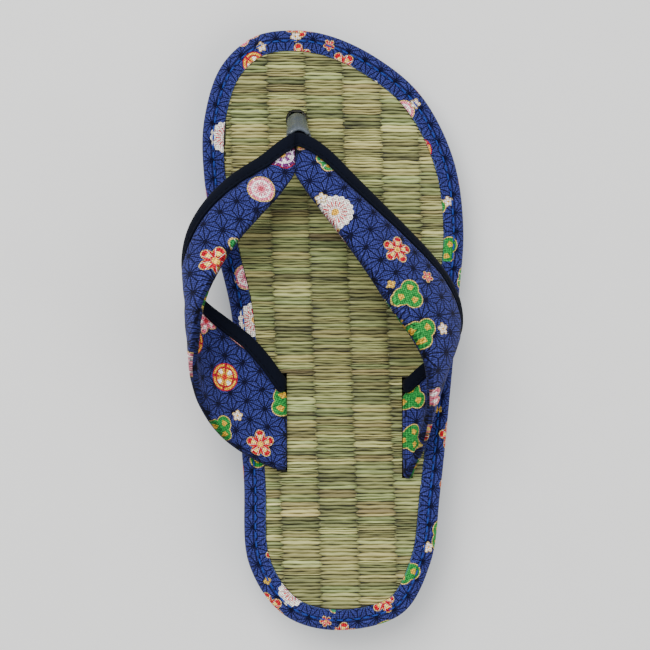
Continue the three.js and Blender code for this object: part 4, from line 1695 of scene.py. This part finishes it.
        thread = Draft()
        at = np.linspace(*self.sewn, self.steps + 1)
        share = (stitch * self.slants(at) / self.widths(at))[:, None]
        for side in Side:
            height = side.value * (outer - 0.3) * self.dip(at, self.crease_dips)
            path, higher = (
                self.offset(at, share, height + more)[:, 0] for more in (0.0, side.value)
            )
            outward = unit(higher - path)
            sew(thread, path, outward, self.stitch_pitch, self.stitch_length, self.thread_radius)
        thread.build("tape_stitches", NAVY_THREAD.material(), Slot.TAPE)

    def build(self) -> None:
        """Builds the pad, the tape and its stitches."""
        self.build_pad()
        self.build_tape()


@dataclass
class ToePost:
    """The cloth thong from the seam into the toe hole, in its vinyl sleeve."""

    last: Last
    straps: Straps
    thong_diameter: float = 5.0
    sleeve_wall: float = 1.1
    foot_diameter: float = 8.0
    head_diameter: float = 10.5
    foot_rise: float = 2.3
    length: float = 20.0
    lean: float = 0.49
    depth: float = 9.0
    bend_depth: float = 5.0
    stand: float = 3.4
    press: float = 1.0
    sides: int = 48
    rows: int = 25
    thong_sides: int = 32
    tube_bulge: float = 0.12
    # How much wider and shallower than round the folded cloth is
    thong_wider: float = 0.05
    thong_depth: float = 0.94

    def axis(self) -> tuple[Array, Array]:
        """Returns the sleeve's foot and the direction that it leans in."""
        direction = np.array([0.0, -math.sin(self.lean), math.cos(self.lean)])
        return self.last.point(*TOE_HOLE) + direction * self.foot_rise, direction

    def under_strap(self, start: Array, direction: Array) -> Array:
        """Finds how far lines run before they meet the seam's underside.

        Args:
            start: Where each line starts.
            direction: Where they run.

        Returns:
            The distances.
        """
        front, rear, _ = self.straps.arm_row(self.straps.seam)
        slope = math.atan2(rear[2] - front[2], front[1] - rear[1])
        normal = np.array([0.0, math.sin(slope), math.cos(slope)])
        level = normal @ front - (self.straps.thickness / 2 + CLEARANCE)
        return (level - start @ normal) / (direction @ normal)

    def build_sleeve(self, foot: Array, direction: Array) -> None:
        """Builds the clear tube.

        Args:
            foot: The middle of its foot.
            direction: Where it leans.
        """
        side = np.array([1.0, 0.0, 0.0])
        third = np.cross(direction, side)
        turns = even_turns(self.sides)
        around = np.cos(turns)[:, None] * side + np.sin(turns)[:, None] * third
        # On the toe side the tube stands up before the hem instead, and leans on it
        before = smooth(np.clip(np.sin(turns) * 1.5 - 0.1, 0.0, 1.0))
        walls = []
        for wall in (0.0, self.sleeve_wall):
            foot_radius = self.foot_diameter / 2 - wall
            spread = (self.head_diameter / 2 - wall - foot_radius) / self.length
            start = foot + around * foot_radius
            run = direction + around * spread
            reach = np.array([self.under_strap(a, b) for a, b in zip(start, run)])
            reach = reach.clip(0.0, self.length) + before * self.stand
            rows = []
            for share in np.linspace(0.0, 1.0, self.rows):
                # The tube bulges a little where it is squeezed against the strap
                bulge = self.tube_bulge * math.sin(share * 9.0) * share * (1 - share) * 4
                lean = -third * (before * self.press * share**2)[:, None]
                rows.append(start + run * (reach * share)[:, None] + around * bulge + lean)
            walls.append(np.stack(rows, axis=1))
        tube = np.concatenate([walls[0], walls[1][:, ::-1]], axis=1)
        up = np.arange(float(self.rows))
        angle = np.append(turns, math.tau) * self.foot_diameter / 2
        draft = Draft()
        places = flat_places(angle, np.concatenate([up, up[::-1], [0.0]]))
        draft.grid(tube, places, hoop=True, tube=True)
        draft.build("toe_sleeve_tube", CLEAR_VINYL.material(), Slot.SLEEVE, "toe_sleeve")

    def build_thong(self, foot: Array, direction: Array) -> None:
        """Builds the folded cloth in the tube, down into its pocket in the sole.

        Args:
            foot: The middle of the tube's foot.
            direction: Where the tube leans.
        """
        hole = self.last.point(*TOE_HOLE)
        guide = [foot + direction * self.length, foot + direction * self.length / 2, foot]
        guide += [hole - (0.0, 0.0, self.bend_depth), hole - (0.0, 0.0, self.depth)]
        centre = curve_through(np.array(guide), np.linspace(0.0, 1.0, 61))
        side = np.array([1.0, 0.0, 0.0])
        third = np.cross(unit(np.gradient(centre, axis=0)), side)
        turns = even_turns(self.thong_sides)
        reach = self.thong_diameter / 2 * (1 + self.thong_wider * np.cos(2 * turns))
        ring = (
            centre[:, None, :]
            + side * (np.cos(turns) * reach)[None, :, None]
            + third[:, None, :] * (np.sin(turns) * reach * self.thong_depth)[None, :, None]
        )
        run = self.under_strap(ring.reshape(-1, 3), direction).reshape(ring.shape[:2])
        ring = ring + direction * np.minimum(run, 0.0)[..., None]
        round_run = np.append(turns, math.tau) * self.thong_diameter / 2
        draft = Draft()
        draft.cap(draft.grid(ring, flat_places(lengths_along(centre), round_run), tube=True))
        draft.build("thong_cord", NAVY_TAPE.material(), Slot.TAPE, "toe_thong")

    def build(self) -> None:
        """Builds the sleeve and the thong."""
        self.build_sleeve(*self.axis())
        self.build_thong(*self.axis())


@dataclass
class Studio:
    """The floor, the lights and the camera."""

    # The picture is 0.4 mm to a pixel on the footbed, seen from a metre over it
    view_from: tuple[float, float, float] = (-0.074, 0.0858, 1.02)
    view_to: tuple[float, float, float] = (-0.0045, 0.0858, 0.02)
    lens: float = 138.5

    def floor(self) -> None:
        """Lays the paper floor."""
        draft = Draft()
        place = np.linspace(-2000.0, 2000.0, 9)
        y, x = np.meshgrid(place, place[::-1], indexing="ij")
        points = np.stack([x, y, np.full_like(x, -0.05)], axis=2)
        draft.grid(points, points[..., :2])
        draft.make("paper_floor", PAPER.material())

    def lights(self) -> None:
        """Hangs a large soft box over the toes and a weaker one by the heel."""
        for name, place, size, power in (
            ("soft_box", (-0.55, 0.75, 1.5), 1.1, 27.0),
            ("fill_box", (0.9, -0.5, 1.3), 1.4, 9.5),
        ):
            light = bpy.data.lights.new(name, "AREA")
            light.shape = "SQUARE"
            light.size = size
            light.energy = power
            holder = bpy.data.objects.new(name, light)
            holder.location = place
            aim = Vector((0.0, 0.08, 0.02)) - Vector(place)
            holder.rotation_euler = aim.to_track_quat("-Z", "Y").to_euler()
            bpy.context.scene.collection.objects.link(holder)
        world = bpy.data.worlds.new("studio_air")
        world.use_nodes = True
        world.node_tree.nodes["Background"].inputs[0].default_value = linear("f2f3f5")
        world.node_tree.nodes["Background"].inputs[1].default_value = 0.78
        bpy.context.scene.world = world

    def camera(self) -> None:
        """Sets the camera over the sandal, with the toes up."""
        data = bpy.data.cameras.new("photo_camera")
        data.lens = self.lens
        data.sensor_width = 36.0
        data.clip_start = 0.01
        holder = bpy.data.objects.new("photo_camera", data)
        back = (Vector(self.view_from) - Vector(self.view_to)).normalized()
        right = Vector((0.0, 1.0, 0.0)).cross(back).normalized()
        up = back.cross(right)
        turn = Matrix((right, up, back)).transposed().to_4x4()
        holder.matrix_world = Matrix.Translation(Vector(self.view_from)) @ turn
        bpy.context.scene.collection.objects.link(holder)
        bpy.context.scene.camera = holder


def main() -> None:
    """Builds the sandal in its studio."""
    logging.basicConfig(level=logging.INFO, format="%(name)s %(message)s")
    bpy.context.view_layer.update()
    last = Last()
    cotton = PrintedCotton().material()
    straps = Straps(last, cotton)
    Outsole(last).build()
    RushMat(last).build()
    EdgeBinding(last, cotton).build()
    straps.build()
    ToePost(last, straps).build()
    studio = Studio()
    studio.floor()
    studio.lights()
    studio.camera()


if __name__ == "__main__":
    main()
